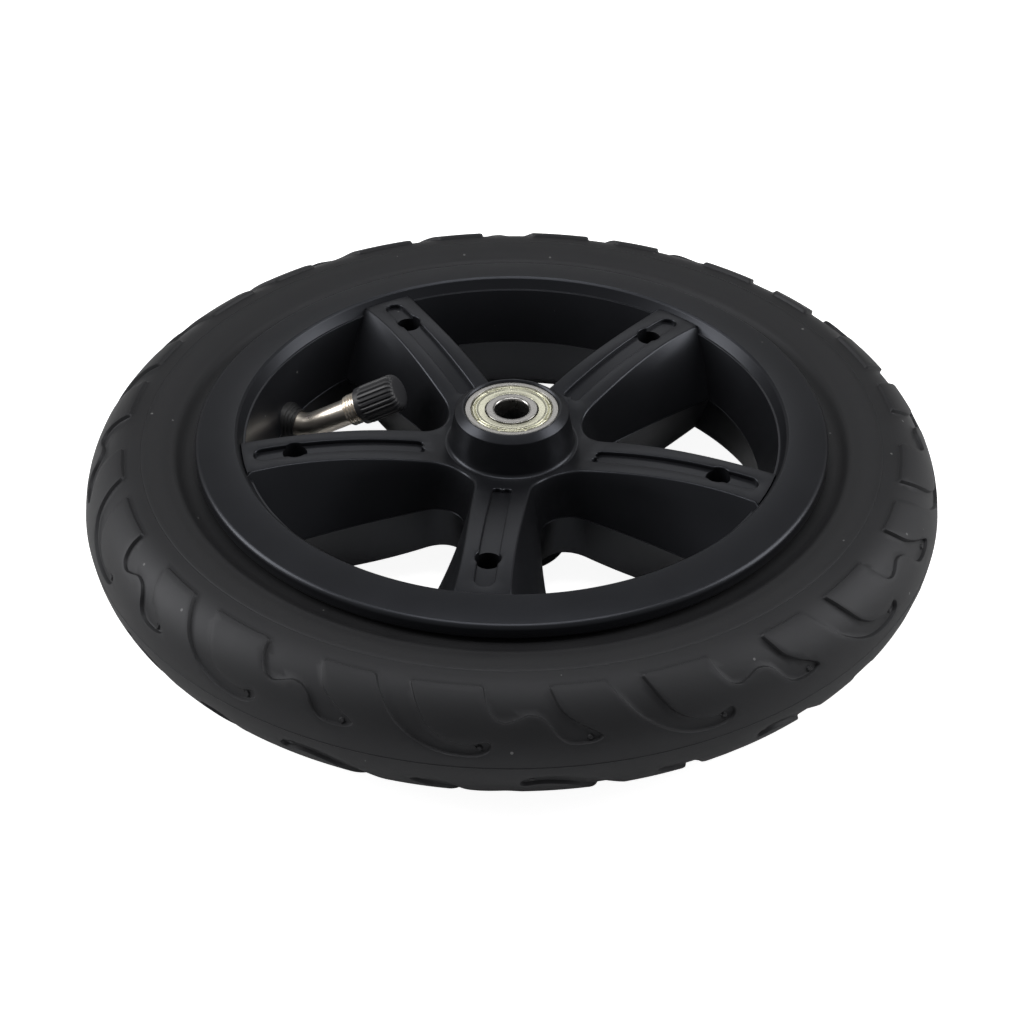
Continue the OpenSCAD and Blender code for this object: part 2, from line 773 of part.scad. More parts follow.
module valve_stem() {
    foot_z = stem_foot_at - stem_foot_t;
    color(nickel) difference() {
        union() {
            on_valve() translate([0, 0, foot_z])
                cylinder(r = stem_r, h = stem_root_len - foot_z + bend_lap);
            on_valve() translate([0, 0, foot_z]) cylinder(r = stem_foot_r, h = stem_foot_t);
            bend(stem_r);
            on_stem() rotate_extrude() stem_outline_2d();
        }
        on_valve() translate([0, 0, foot_z - cut])
            cylinder(d = air_way_d, h = stem_root_len - foot_z + cut + bend_lap);
        bend(air_way_d / 2);
        on_stem() translate([0, 0, -bend_lap]) cylinder(d = air_way_d, h = stem_len);
        on_stem() translate([0, 0, core_bottom - seal_t - pin_travel - cut])
            cylinder(d = core_barrel_bore_d, h = stem_len);
        on_stem() translate([0, 0, core_shoulder]) cylinder(d = core_bore_d, h = stem_len);
    }
}

module valve_core() {
    plug_r = core_bore_d / 2 - valve_fit;
    barrel_r = core_barrel_bore_d / 2 - 0.2;
    hole_r = pin_d / 2 + valve_fit;
    color(brass) on_stem() difference() {
        union() {
            translate([0, 0, core_hollow_top]) cylinder(r = plug_r, h = core_plug_len);
            translate([0, 0, core_bottom]) cylinder(r = barrel_r, h = core_barrel_len + cut);
        }
        translate([0, 0, core_bottom - cut]) cylinder(r = hole_r, h = stem_len);
        translate([0, 0, core_hollow_bottom])
            cylinder(r = barrel_r - core_wall, h = core_hollow_top - core_hollow_bottom);
    }
}

module valve_pin() {
    seal_top = core_bottom - valve_fit;
    collar_top = core_hollow_top - valve_fit;
    color(brass) on_stem() {
        translate([0, 0, seal_top - seal_t]) cylinder(r = seal_r, h = seal_t);
        translate([0, 0, seal_top - seal_t / 2]) cylinder(d = pin_d, h = pin_top - seal_top + seal_t / 2);
        translate([0, 0, pin_top - pin_button_t]) cylinder(r = pin_button_r, h = pin_button_t);
        translate([0, 0, collar_top - pin_collar_t]) cylinder(r = pin_collar_r, h = pin_collar_t);
    }
}

// A closed coil of round wire between the core's seat and the pin's collar
module valve_spring() {
    wire_r = spring_wire_d / 2;
    coil_r = pin_d / 2 + wire_r + 0.2;
    z0 = core_hollow_bottom + wire_r + valve_fit;
    z1 = core_hollow_top - 2 * valve_fit - pin_collar_t - wire_r;
    per_turn = 12;
    sides = 6;
    rings = spring_turns * per_turn;
    points = [for (i = [0 : rings], k = [0 : sides - 1])
        let (a = 360 * i / per_turn, b = 360 * k / sides, r = coil_r + wire_r * cos(b))
        [r * cos(a), r * sin(a), z0 + (z1 - z0) * i / rings + wire_r * sin(b)]];
    walls = [for (i = [0 : rings - 1], k = [0 : sides - 1]) let (n = (k + 1) % sides)
        [i * sides + k, (i + 1) * sides + k, (i + 1) * sides + n, i * sides + n]];
    first = [for (k = [0 : sides - 1]) k];
    last = [for (k = [sides - 1 : -1 : 0]) rings * sides + k];
    color(steel_bright) on_stem() polyhedron(points, concat([first], walls, [last]));
}

module valve_cap() {
    cap_r = cap_d / 2;
    band_top = 1.3;
    band_step = 0.1;
    chamfer = 0.3;
    dome = 1.6;
    color(cap_black) on_stem() translate([0, 0, cap_seat]) difference() {
        rotate_extrude() polygon(concat(
            [
                [0, 0], [cap_r - chamfer, 0], [cap_r - band_step, chamfer],
                [cap_r - band_step, band_top], [cap_r, band_top + chamfer]
            ],
            arc(cap_r - dome, cap_len - dome, dome, 0, 90, 5),
            [[0, cap_len]]
        ));
        translate([0, 0, -cut]) cylinder(r = thread_r + cap_gap, h = cap_bore_depth + cut);
        for (i = [0 : cap_grooves - 1]) rotate([0, 0, i * 360 / cap_grooves])
            translate([cap_r, 0, band_top + chamfer]) cylinder(r = cap_groove_r, h = cap_len, $fn = 24);
    }
}

rim_front();
rim_back();
clamp_screws();
tyre();
inner_tube();
bead_wire(1);  // bead_wire_front
bead_wire(-1);  // bead_wire_back
valve_collar();
valve_stem();
valve_core();
valve_pin();
valve_spring();
valve_cap();
bearing_spacer();
at_front_bearing() outer_ring();  // front_outer_ring
at_front_bearing() inner_ring();  // front_inner_ring
at_front_bearing() balls();  // front_balls
at_front_bearing() cage();  // front_cage
at_front_bearing() shield();  // front_shield_out
at_front_bearing() mirror([0, 0, 1]) shield();  // front_shield_in
at_back_bearing() outer_ring();  // back_outer_ring
at_back_bearing() inner_ring();  // back_inner_ring
at_back_bearing() balls();  // back_balls
at_back_bearing() cage();  // back_cage
at_back_bearing() mirror([0, 0, 1]) shield();  // back_shield_out
at_back_bearing() shield();  // back_shield_in
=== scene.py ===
import math

import bmesh
import bpy
import numpy as np
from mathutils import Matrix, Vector
from mathutils.geometry import delaunay_2d_cdt


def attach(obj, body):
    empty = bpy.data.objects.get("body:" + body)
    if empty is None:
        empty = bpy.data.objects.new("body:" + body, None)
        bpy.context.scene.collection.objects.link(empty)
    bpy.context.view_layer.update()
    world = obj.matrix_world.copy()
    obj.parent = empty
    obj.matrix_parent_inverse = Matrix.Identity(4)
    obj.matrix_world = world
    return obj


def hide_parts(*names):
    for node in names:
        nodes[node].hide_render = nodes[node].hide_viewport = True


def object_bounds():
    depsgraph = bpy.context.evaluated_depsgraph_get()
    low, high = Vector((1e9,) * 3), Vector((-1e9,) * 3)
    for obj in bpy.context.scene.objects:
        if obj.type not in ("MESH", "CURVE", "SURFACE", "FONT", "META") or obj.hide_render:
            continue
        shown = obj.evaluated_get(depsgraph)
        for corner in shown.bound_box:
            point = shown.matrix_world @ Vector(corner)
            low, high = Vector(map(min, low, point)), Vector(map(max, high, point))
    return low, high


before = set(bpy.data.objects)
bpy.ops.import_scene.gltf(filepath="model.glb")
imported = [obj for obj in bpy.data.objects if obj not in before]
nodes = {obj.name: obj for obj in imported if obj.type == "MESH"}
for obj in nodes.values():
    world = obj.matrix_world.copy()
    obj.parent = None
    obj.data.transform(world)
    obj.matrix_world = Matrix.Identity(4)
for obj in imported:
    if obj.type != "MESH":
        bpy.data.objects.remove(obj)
cad_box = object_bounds()

MM = 0.001
RING = 360                  # segments round the wheel on large turned shapes


def rad(degrees):
    return math.radians(degrees)


# ---------- small mesh tools ----------

def put_mesh(name, verts, faces, smooth=30, weld=0.002):
    """A mesh object from points in millimetres, welded, facing outwards, with its sharp edges marked."""
    mesh = bpy.data.meshes.new(name)
    mesh.from_pydata((np.asarray(verts, float) * MM).tolist(), [], [tuple(f) for f in faces])
    work = bmesh.new()
    work.from_mesh(mesh)
    bmesh.ops.remove_doubles(work, verts=work.verts, dist=weld * MM)
    bmesh.ops.dissolve_degenerate(work, edges=work.edges, dist=weld * MM * 0.2)
    bmesh.ops.recalc_face_normals(work, faces=work.faces)
    work.to_mesh(mesh)
    work.free()
    mesh.shade_smooth()
    mesh.set_sharp_from_angle(angle=rad(smooth))
    piece = bpy.data.objects.new(name, mesh)
    bpy.context.scene.collection.objects.link(piece)
    return piece


def dress(piece, body, material, replaced=()):
    """The piece's material, its body and the CAD nodes that it stands for."""
    piece.data.materials.clear()
    piece.data.materials.append(material)
    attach(piece, body)
    if replaced:
        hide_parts(*replaced)
    return piece


def add_part(verts, faces, more_verts, more_faces):
    base = len(verts)
    verts.extend([tuple(p) for p in more_verts])
    faces.extend([tuple(i + base for i in f) for f in more_faces])


def rounded(profile, steps=4):
    """A closed outline of (r, z, rounding) with each corner turned into an arc."""
    out = []
    count = len(profile)
    for i, (r, z, size) in enumerate(profile):
        here = Vector((r, z))
        if not size:
            out.append((r, z))
            continue
        before = (Vector(profile[i - 1][:2]) - here).normalized()
        after = (Vector(profile[(i + 1) % count][:2]) - here).normalized()
        half = before.angle(after) / 2
        cut = size / math.tan(half)
        centre = here + (before + after).normalized() * (size / math.sin(half))
        first = here + before * cut - centre
        last = here + after * cut - centre
        for k in range(steps + 1):
            t = k / steps
            span = first.angle(last)
            spoke = (first * math.sin((1 - t) * span) + last * math.sin(t * span)) / math.sin(span)
            out.append(tuple(centre + spoke))
    return out


def revolve(profile, count=RING, closed=True):
    angles = np.arange(count) * 2 * math.pi / count
    pr = np.array(profile, float)
    m = len(pr)
    verts = np.stack([
        np.outer(np.cos(angles), pr[:, 0]), np.outer(np.sin(angles), pr[:, 0]),
        np.outer(np.ones(count), pr[:, 1])
    ], axis=-1).reshape(-1, 3)
    faces = []
    for i in range(count):
        j = (i + 1) % count
        for k in range(m if closed else m - 1):
            n = (k + 1) % m
            faces.append((i * m + k, j * m + k, j * m + n, i * m + n))
    return verts.tolist(), faces


def band(loop_a, loop_b, closed=True):
    """Quads between two loops of as many points."""
    m = len(loop_a)
    faces = [(k, (k + 1) % m, m + (k + 1) % m, m + k) for k in range(m if closed else m - 1)]
    return list(loop_a) + list(loop_b), faces


def inside(points, loops):
    """Which 2D points lie inside the loops, holes left out, by the even-odd rule."""
    points = np.asarray(points, float)
    odd = np.zeros(len(points), bool)
    for loop in loops:
        a = np.asarray(loop, float)
        b = np.roll(a, -1, axis=0)
        for (x0, y0), (x1, y1) in zip(a, b):
            if y0 == y1:
                continue
            crosses = (points[:, 1] > min(y0, y1)) & (points[:, 1] <= max(y0, y1))
            x = x0 + (points[:, 1] - y0) * (x1 - x0) / (y1 - y0)
            odd ^= crosses & (points[:, 0] < x)
    return odd


def distance(points, loop):
    """Distance from 2D points to a closed outline."""
    points = np.asarray(points, float)
    a = np.asarray(loop, float)
    b = np.roll(a, -1, axis=0)
    best = np.full(len(points), 1e9)
    for p, q in zip(a, b):
        d = q - p
        t = np.clip(((points - p) @ d) / max(d @ d, 1e-12), 0, 1)
        best = np.minimum(best, np.hypot(*(points - p - t[:, None] * d).T))
    return best


def fill(loops, extra=()):
    """Triangles over the region between loops (the first is the outside), through extra points."""
    verts, edges = [], []
    for loop in loops:
        base = len(verts)
        verts += [Vector((p[0], p[1])) for p in loop]
        edges += [(base + k, base + (k + 1) % len(loop)) for k in range(len(loop))]
    verts += [Vector((p[0], p[1])) for p in extra]
    got, _, tris, *_ = delaunay_2d_cdt(verts, edges, [], 0, 1e-5)
    got = np.array([tuple(v) for v in got])
    tris = np.array(tris)
    return got, tris[inside(got[tris].mean(axis=1), loops)]


def curve_through(points, step):
    """A smooth line through a few points, sampled about every step."""
    p = np.array(points, float)
    out = []
    n = len(p)
    for i in range(n - 1):
        p0, p1, p2 = p[max(i - 1, 0)], p[i], p[i + 1]
        p3 = p[min(i + 2, n - 1)]
        count = max(1, int(round(np.hypot(*(p2 - p1)) / step)))
        for k in range(count):
            t = k / count
            out.append(0.5 * (
                2 * p1 + (p2 - p0) * t + (2 * p0 - 5 * p1 + 4 * p2 - p3) * t * t
                + (3 * p1 - p0 - 3 * p2 + p3) * t ** 3
            ))
    out.append(p[-1])
    return np.array(out)


# ---------- tyre ----------

SECTION_R = 14.95           # tread top, from the middle of the tyre's section
SECTION_C = 85.05           # middle of the tyre's section, from the axle
TREAD_H = 0.9
EDGE_DEG = 68.7             # shoulder edge of the tread, round the section from the crown
REPEATS = 12
PER_DEG = 1.69              # length of one degree round the tread
PER_SECTION_DEG = SECTION_R * math.pi / 180
CROWN_S = EDGE_DEG * PER_SECTION_DEG
BAND_S = (EDGE_DEG - 90) * PER_SECTION_DEG
MOULD_LINE_S = (EDGE_DEG - 85.6) * PER_SECTION_DEG
CAVITY_R = 11.6             # inside of the casing, from the middle of the tyre's section
TREAD_PITCH = PER_DEG * 360 / REPEATS
WAVE_START = 14.15 * PER_DEG
WALL_LEVELS = (-0.3, -0.12, 0.0, 0.2, 0.4)

hook_outline = curve_through([
    (-1.2, -3), (0, 0), (1.8, 3.4), (5.1, 8.0), (8.3, 10.9), (12.2, 13.3), (16.1, 14.7), (20, 15.2),
    (23.3, 15.0), (25.3, 14.1), (26, 12.9), (25.7, 12.0), (24.8, 11.8), (22.6, 12.45), (20, 12.5),
    (16.1, 11.4), (12.9, 9.0), (10.4, 5.2), (8, 0), (7.2, -3)
], 0.5)
wave_outline = curve_through([
    (-0.4, -3), (0, 0), (0.8, 3.8), (2.4, 6.7), (4.7, 7.85), (7, 7.3), (9.6, 6.3), (12.0, 6.8),
    (13.8, 8.4), (15.4, 10.8), (17.5, 12.4), (20.4, 12.8), (23.2, 12.5), (24.5, 11.7), (23.9, 10.9),
    (21.9, 9.65), (19.3, 8.0), (16.7, 5.7), (15.1, 2.4), (14.4, 0), (14.1, -3)
], 0.5)
HOOK_DOT = (23.7, 13.4)
WAVE_DOT = (22.0, 11.7)


def groove_depth(points):
    """How far inside a groove or the shoulder's band a point of the tread lies."""
    blend = 0.9
    points = np.asarray(points, float)
    depth = np.full(len(points), -1e9)
    for shift in (-1, 0, 1):
        for outline, start in ((hook_outline, 0), (wave_outline, WAVE_START)):
            loop = outline + np.array([start + shift * TREAD_PITCH, 0])
            near = (points[:, 0] > loop[:, 0].min() - 4) & (points[:, 0] < loop[:, 0].max() + 4)
            if not near.any():
                continue
            there = points[near]
            gap = distance(there, loop)
            signed = np.where(inside(there, [loop]), gap, -gap)
            depth[near] = np.maximum(depth[near], signed)
    band_depth = -points[:, 1]
    mix = np.clip(blend - np.abs(band_depth - depth), 0, None) ** 2 / (4 * blend)
    return np.maximum(band_depth, depth) + mix


def dots(points):
    """Height of the small round pip in each groove's end."""
    height = np.zeros(len(points))
    for shift in (-1, 0, 1):
        for (x, y), start in ((HOOK_DOT, 0), (WAVE_DOT, WAVE_START)):
            away = np.hypot(points[:, 0] - x - start - shift * TREAD_PITCH, points[:, 1] - y)
            height = np.maximum(height, 0.35 * np.clip((0.75 - away) / 0.3, 0, 1))
    return height


def tread_height(points):
    """Height of the tread over its blocks' level: groove walls and floors, pips and moulding lines."""
    depth = groove_depth(points)
    round_r = 0.3
    edge = np.clip((depth + round_r) / round_r, 0, 1)
    height = -round_r * 0.8 * (1 - np.sqrt(1 - edge ** 2))
    wall = np.clip(depth / 0.2, 0, 1)
    foot = np.clip((depth - 0.2) / 0.2, 0, 1)
    height -= wall * (TREAD_H - 0.34) + foot * 0.1
    height += dots(points) * foot
    seam = np.abs(points[:, 1] - CROWN_S)
    height += 0.12 * np.clip(1 - seam / 0.2, 0, 1) * (depth < -0.3)
    line = np.abs(points[:, 1] - MOULD_LINE_S)
    height -= 0.1 * np.clip(1 - line / 0.22, 0, 1)
    return height


def contour(field, xs, ys, level):
    """The line where the field has that value, as points and edges."""
    points, ids, edges = [], {}, []

    def crossing(j0, i0, j1, i1):
        key = (j0, i0, j1, i1)
        if key not in ids:
            a, b = field[j0, i0] - level, field[j1, i1] - level
            t = a / (a - b)
            ids[key] = len(points)
            points.append((xs[i0] + (xs[i1] - xs[i0]) * t, ys[j0] + (ys[j1] - ys[j0]) * t))
        return ids[key]

    above = field > level
    mixed = (above[:-1, :-1] != above[1:, :-1]) | (above[:-1, :-1] != above[:-1, 1:]) \
        | (above[:-1, :-1] != above[1:, 1:])
    for j, i in zip(*np.nonzero(mixed)):
        sides = [(j, i, j, i + 1), (j, i + 1, j + 1, i + 1), (j + 1, i, j + 1, i + 1), (j, i, j + 1, i)]
        cut = [s for s in sides if above[s[0], s[1]] != above[s[2], s[3]]]
        ends = [crossing(*s) for s in cut]
        for k in range(0, len(ends) - 1, 2):
            edges.append((ends[k], ends[k + 1]))
    return points, edges


def tread_tile(bottom_deg, crown_deg):
    """One repeat of one side's tread, flat, with its left side leaning between the grooves."""
    lean = PER_DEG * (crown_deg - bottom_deg) / (CROWN_S - BAND_S)
    base = PER_DEG * bottom_deg

    def upright(p):
        p = np.asarray(p, float)
        return np.stack([p[:, 0] + base + lean * (p[:, 1] - BAND_S), p[:, 1]], axis=1)

    nx, ny = 144, 66
    xs = np.linspace(0, TREAD_PITCH, nx + 1)
    ys = np.linspace(BAND_S, CROWN_S, ny + 1)
    grid = np.array([(x, y) for y in ys for x in xs])
    field = groove_depth(upright(grid)).reshape(ny + 1, nx + 1)
    verts, edges = [], []
    side_ys = set()
    for level in WALL_LEVELS:
        points, links = contour(field, xs, ys, level)
        base_id = len(verts)
        verts += points
        edges += [(a + base_id, b + base_id) for a, b in links]
        side_ys |= {round(p[1], 6) for p in points if p[0] < 1e-9}
    columns = np.linspace(0, TREAD_PITCH, 31)
    rows = [BAND_S, MOULD_LINE_S - 0.22, MOULD_LINE_S, MOULD_LINE_S + 0.22,
            CROWN_S - 0.5, CROWN_S - 0.2, CROWN_S]
    for y in rows:
        base_id = len(verts)
        verts += [(x, y) for x in columns]
        edges += [(base_id + k, base_id + k + 1) for k in range(30)]
    fills = [y for y in np.arange(BAND_S, CROWN_S, 1.45)[1:] if min(abs(y - r) for r in rows) > 0.5]
    inner = np.array([(x, y) for y in fills for x in columns[1:-1]])
    depth = groove_depth(upright(inner))
    verts += [tuple(p) for p, d in zip(inner, depth) if d < -0.75 or d > 0.8]
    side_ys |= {round(float(y), 6) for y in list(fills) + rows}
    kept = []
    for y in sorted(side_ys):
        if not kept or y - kept[-1] > 0.02:
            kept.append(y)
    for x in (0.0, TREAD_PITCH):
        base_id = len(verts)
        verts += [(x, y) for y in kept]
        edges += [(base_id + k, base_id + k + 1) for k in range(len(kept) - 1)]
    for x, y in (HOOK_DOT, (WAVE_DOT[0] + WAVE_START, WAVE_DOT[1])):
        for ring_r in (0.45, 0.75):
            for k in range(10):
                px = x + ring_r * math.cos(k * math.pi / 5)
                py = y + ring_r * math.sin(k * math.pi / 5)
                px = (px - base - lean * (py - BAND_S)) % TREAD_PITCH
                verts.append((px, py))
    got, _, tris, *_ = delaunay_2d_cdt([Vector(v) for v in verts], edges, [], 0, 1e-4)
    got = np.array([tuple(v) for v in got])
    flat = upright(got)
    return flat, tread_height(flat), np.array(tris)


def tyre_mesh():
    verts, faces = [], []
    for side, start, bottom_deg, crown_deg in ((1, 12.2, -6.2, 2.8), (-1, 16.4, -6.6, 2.4)):
        flat, height, tris = tread_tile(bottom_deg, crown_deg)
        phi = np.radians(EDGE_DEG - flat[:, 1] / PER_SECTION_DEG)
        out = SECTION_R + height
        for k in range(REPEATS):
            theta = np.radians(start + side * flat[:, 0] / PER_DEG + k * 360 / REPEATS)
            r = SECTION_C + out * np.cos(phi)
            place = np.stack([r * np.cos(theta), r * np.sin(theta), side * out * np.sin(phi)], axis=1)
            add_part(verts, faces, place, tris)
    base_r = SECTION_R - TREAD_H
    outer = [(SECTION_C + base_r * math.cos(rad(a)), base_r * math.sin(rad(a)))
             for a in range(90, 127, 3)]
    lip = list(outer)
    for k, lift in ((8, 0.12), (9, 0.28), (10, 0.12)):
        a = rad(90 + 3 * k)
        lip[k] = (SECTION_C + (base_r + lift) * math.cos(a), (base_r + lift) * math.sin(a))
    foot = [(75.4, 10.9), (72.45, 10.9), (67.9, 10.9), (67.2, 10.6), (67.1, 10.2), (67.1, 6.0),
            (74.6, 6.0), (75.6, 6.7)]
    cavity = [(SECTION_C + CAVITY_R * math.cos(rad(a)), CAVITY_R * math.sin(rad(a)))
              for a in range(140, -1, -10)]
    upper = lip + foot + cavity
    section = upper + [(r, -z) for r, z in reversed(upper[:-1])]
    ring_verts, ring_faces = revolve(section, RING, closed=False)
    add_part(verts, faces, ring_verts, ring_faces)
    return put_mesh("tyre_rubber", verts, faces, smooth=28, weld=0.02)


# ---------- rim ----------

SPOKES = 5
SPOKE_AZ = 48.3
SPOKE_PITCH = 360 / SPOKES
WINDOW_AZ = SPOKE_PITCH / 2
VALVE_AZ = SPOKE_AZ + WINDOW_AZ + SPOKE_PITCH + 1.3
CROWN_Z = 15.6
CROWN_R = 51
CROWN_CURVE = 119
WAIST_R = 59
HUB_ROOT_R = 14.9
SPOKE_HUB_HALF = 8.8        # half a spoke's width at the seam, at the hub and at the barrel
SPOKE_BARREL_HALF = 15.35
SPOKE_BOW = 0.4
SPOKE_END_R = 62.95         # where the groove at the spokes' ends starts, its width and depth
SPOKE_END_W = 0.12
SPOKE_END_DROP = 0.6
SPOKE_FRONT_HALF = 5.65
SPOKE_BACK_HALF = 7.0
NOSE_FACE_R = 9.4
NOSE_SEAM_R = 6.8
SLOT_HALF = 2.2
SLOT_DEPTH = 1.0
SLOT_START = 20.9
SLOT_END = 60.5
SCREW_R = 51
WELL_R = 2.85
SCREW_SEAT_Z = 4.5
EDGE_ROUND = 0.55           # rounding along the spokes' edges
PART_GAP = 0.02             # half the seam between the two halves
PART_BEVEL = 0.16


def crown(r):
    """Height of the spokes' faces, with a fine groove where they end at the barrel."""
    groove = SPOKE_END_DROP * np.clip((r - SPOKE_END_R) / SPOKE_END_W, 0.0, 1.0)
    return CROWN_Z - (r - CROWN_R) ** 2 / (2 * CROWN_CURVE) - groove


def window_line(hub_half, barrel_half, nose_r, end_r):
    """One window's outline in a level: round the corner at the hub, then out along the spoke.
    Gives the corner's points, where the flank starts and ends, and half the spoke's width."""
    az = rad(WINDOW_AZ)
    start = HUB_ROOT_R + 7
    run = WAIST_R - 1 - start
    rise = barrel_half - hub_half
    lean = math.atan(rise / run * (1 - SPOKE_BOW))
    nose_x = (nose_r + hub_half * math.cos(lean) - start * math.sin(lean)) / math.sin(az - lean)

    def half(along):
        t = (along - start) / run
        return hub_half + rise * t * (1 - SPOKE_BOW + SPOKE_BOW * t)

    corner = []
    for k in range(13):
        a = math.pi - (math.pi / 2 - az + lean) * k / 12
        corner.append((nose_x + nose_r * math.cos(a), nose_r * math.sin(a)))
    first = nose_x * math.cos(az) + nose_r * math.sin(lean)
    last = end_r
    for _ in range(20):
        last = math.sqrt(end_r ** 2 - half(last) ** 2)
    return corner, first, last, half


def window_columns(face_half):
    """Upright rows of points down each window's wall, from the crown to the seam."""
    az = rad(WINDOW_AZ)
    seam_nose, seam_from, seam_to, seam_half = window_line(
        SPOKE_HUB_HALF, SPOKE_BARREL_HALF, NOSE_SEAM_R, 60.9)
    face_nose, face_from, face_to, face_half_at = window_line(
        face_half, face_half, NOSE_FACE_R, 64.6)
    steps = 36

    def on_nose(k):
        low, high = np.array(seam_nose[k]), np.array(face_nose[k])
        return lambda t: low * (1 - t) + high * t

    def on_flank(k):
        def place(t):
            near = seam_from * (1 - t) + face_from * t
            far = seam_to * (1 - t) + face_to * t
            along = near + (far - near) * k / steps
            across = seam_half(along) * (1 - t) + face_half_at(along) * t
            return np.array([along * math.cos(az) + across * math.sin(az),
                             along * math.sin(az) - across * math.cos(az)])
        return place

    side = [on_nose(k) for k in range(13)] + [on_flank(k) for k in range(1, steps + 1)]

    def mirrored(place):
        return lambda t: place(t) * (1, -1)

    wall = [mirrored(place) for place in reversed(side[1:])] + side
    columns = []
    count = len(wall)
    for i in range(count):
        def at(z):
            return wall[i](z / CROWN_Z)

        z = CROWN_Z
        for _ in range(30):
            z = min(crown(np.hypot(*at(z))), 18)
        before, after = max(i - 1, 0), min(i + 1, count - 1)
        t = z / CROWN_Z
        here = wall[i](t)
        tangent = wall[after](t) - wall[before](t)
        normal = np.array([tangent[1], -tangent[0]]) / np.hypot(*tangent)
        if normal @ (np.array([45.0, 0.0]) - here) < 0:
            normal = -normal
        edge = np.array([*here, z])
        r = np.hypot(*here)
        slope = -(r - CROWN_R) / CROWN_CURVE
        over = np.array([*(-normal), slope * (-normal @ here) / r])
        over = Vector(over).normalized()
        down = Vector((*(at(z - 1) - here), -1.0)).normalized()
        half = over.angle(down) / 2
        reach = EDGE_ROUND / math.tan(half)
        centre = Vector(edge) + (over + down).normalized() * (EDGE_ROUND / math.sin(half))
        first = Vector(edge) + over * reach - centre
        last = Vector(edge) + down * reach - centre
        span = first.angle(last)
        column = []
        for k in range(5):
            s = k / 4
            spoke = (first * math.sin((1 - s) * span) + last * math.sin(s * span)) / math.sin(span)
            column.append(tuple(centre + spoke))
        low = column[-1][2]
        for k in (0.75, 0.5, 0.25):
            zz = PART_BEVEL + (low - PART_BEVEL) * k
            column.append((*at(zz), zz))
        column.append((*at(PART_BEVEL), PART_BEVEL))
        column.append((*(at(PART_GAP) - normal * (PART_BEVEL - PART_GAP)), PART_GAP))
        columns.append(column)
    return np.array(columns)


def turned(points, degrees):
    points = np.asarray(points, float)
    c, s = math.cos(rad(degrees)), math.sin(rad(degrees))
    out = points.copy()
    out[..., 0] = points[..., 0] * c - points[..., 1] * s
    out[..., 1] = points[..., 0] * s + points[..., 1] * c
    return out


def slot_line(offset, wells):
    """The slot's outline along +X, with two round ends at the hub, and what each point belongs to."""
    half = SLOT_HALF + offset
    lobe = SLOT_HALF / 2
    lobe_r = lobe + offset
    x_hub = SLOT_START + lobe
    x_end = SLOT_END - SLOT_HALF
    well = WELL_R + offset
    cross = math.asin(half / well)
    points, kinds = [], []

    def arc(cx, cy, r, a0, a1, steps, kind, last=True):
        for k in range(steps + (1 if last else 0)):
            a = rad(a0 + (a1 - a0) * k / steps)
            points.append((cx + r * math.cos(a), cy + r * math.sin(a)))
            kinds.append(kind)

    stop = 180 + math.degrees(math.asin(min((lobe - 0.1) / lobe_r, 0.99)))
    arc(x_hub, lobe, lobe_r, 90, stop, 9, "slot")
    arc(x_hub, -lobe, lobe_r, 360 - stop, 270, 9, "slot")

    def side(y, xs):
        for x in xs:
            points.append((x, y))
            kinds.append("slot")

    near = np.linspace(x_hub, SCREW_R - well * math.cos(cross), 18)[1:-1]
    far = np.linspace(SCREW_R + well * math.cos(cross), x_end, 5)[1:-1]
    if wells:
        side(-half, near)
        a = math.degrees(cross)
        arc(SCREW_R, 0, well, 180 + a, 360 - a, 8, "lobe")
        side(-half, far)
    else:
        side(-half, np.linspace(x_hub, x_end, 26)[1:-1])
    arc(x_end, 0, half, -90, 90, 12, "slot")
    if wells:
        side(half, far[::-1])
        arc(SCREW_R, 0, well, a, 180 - a, 8, "lobe")
        side(half, near[::-1])
    else:
        side(half, np.linspace(x_hub, x_end, 26)[1:-1][::-1])
    return np.array(points), kinds


def with_crown(points, drop=0.0):
    points = np.asarray(points, float)
    r = np.hypot(points[:, 0], points[:, 1])
    return np.column_stack([points, crown(r) - drop])


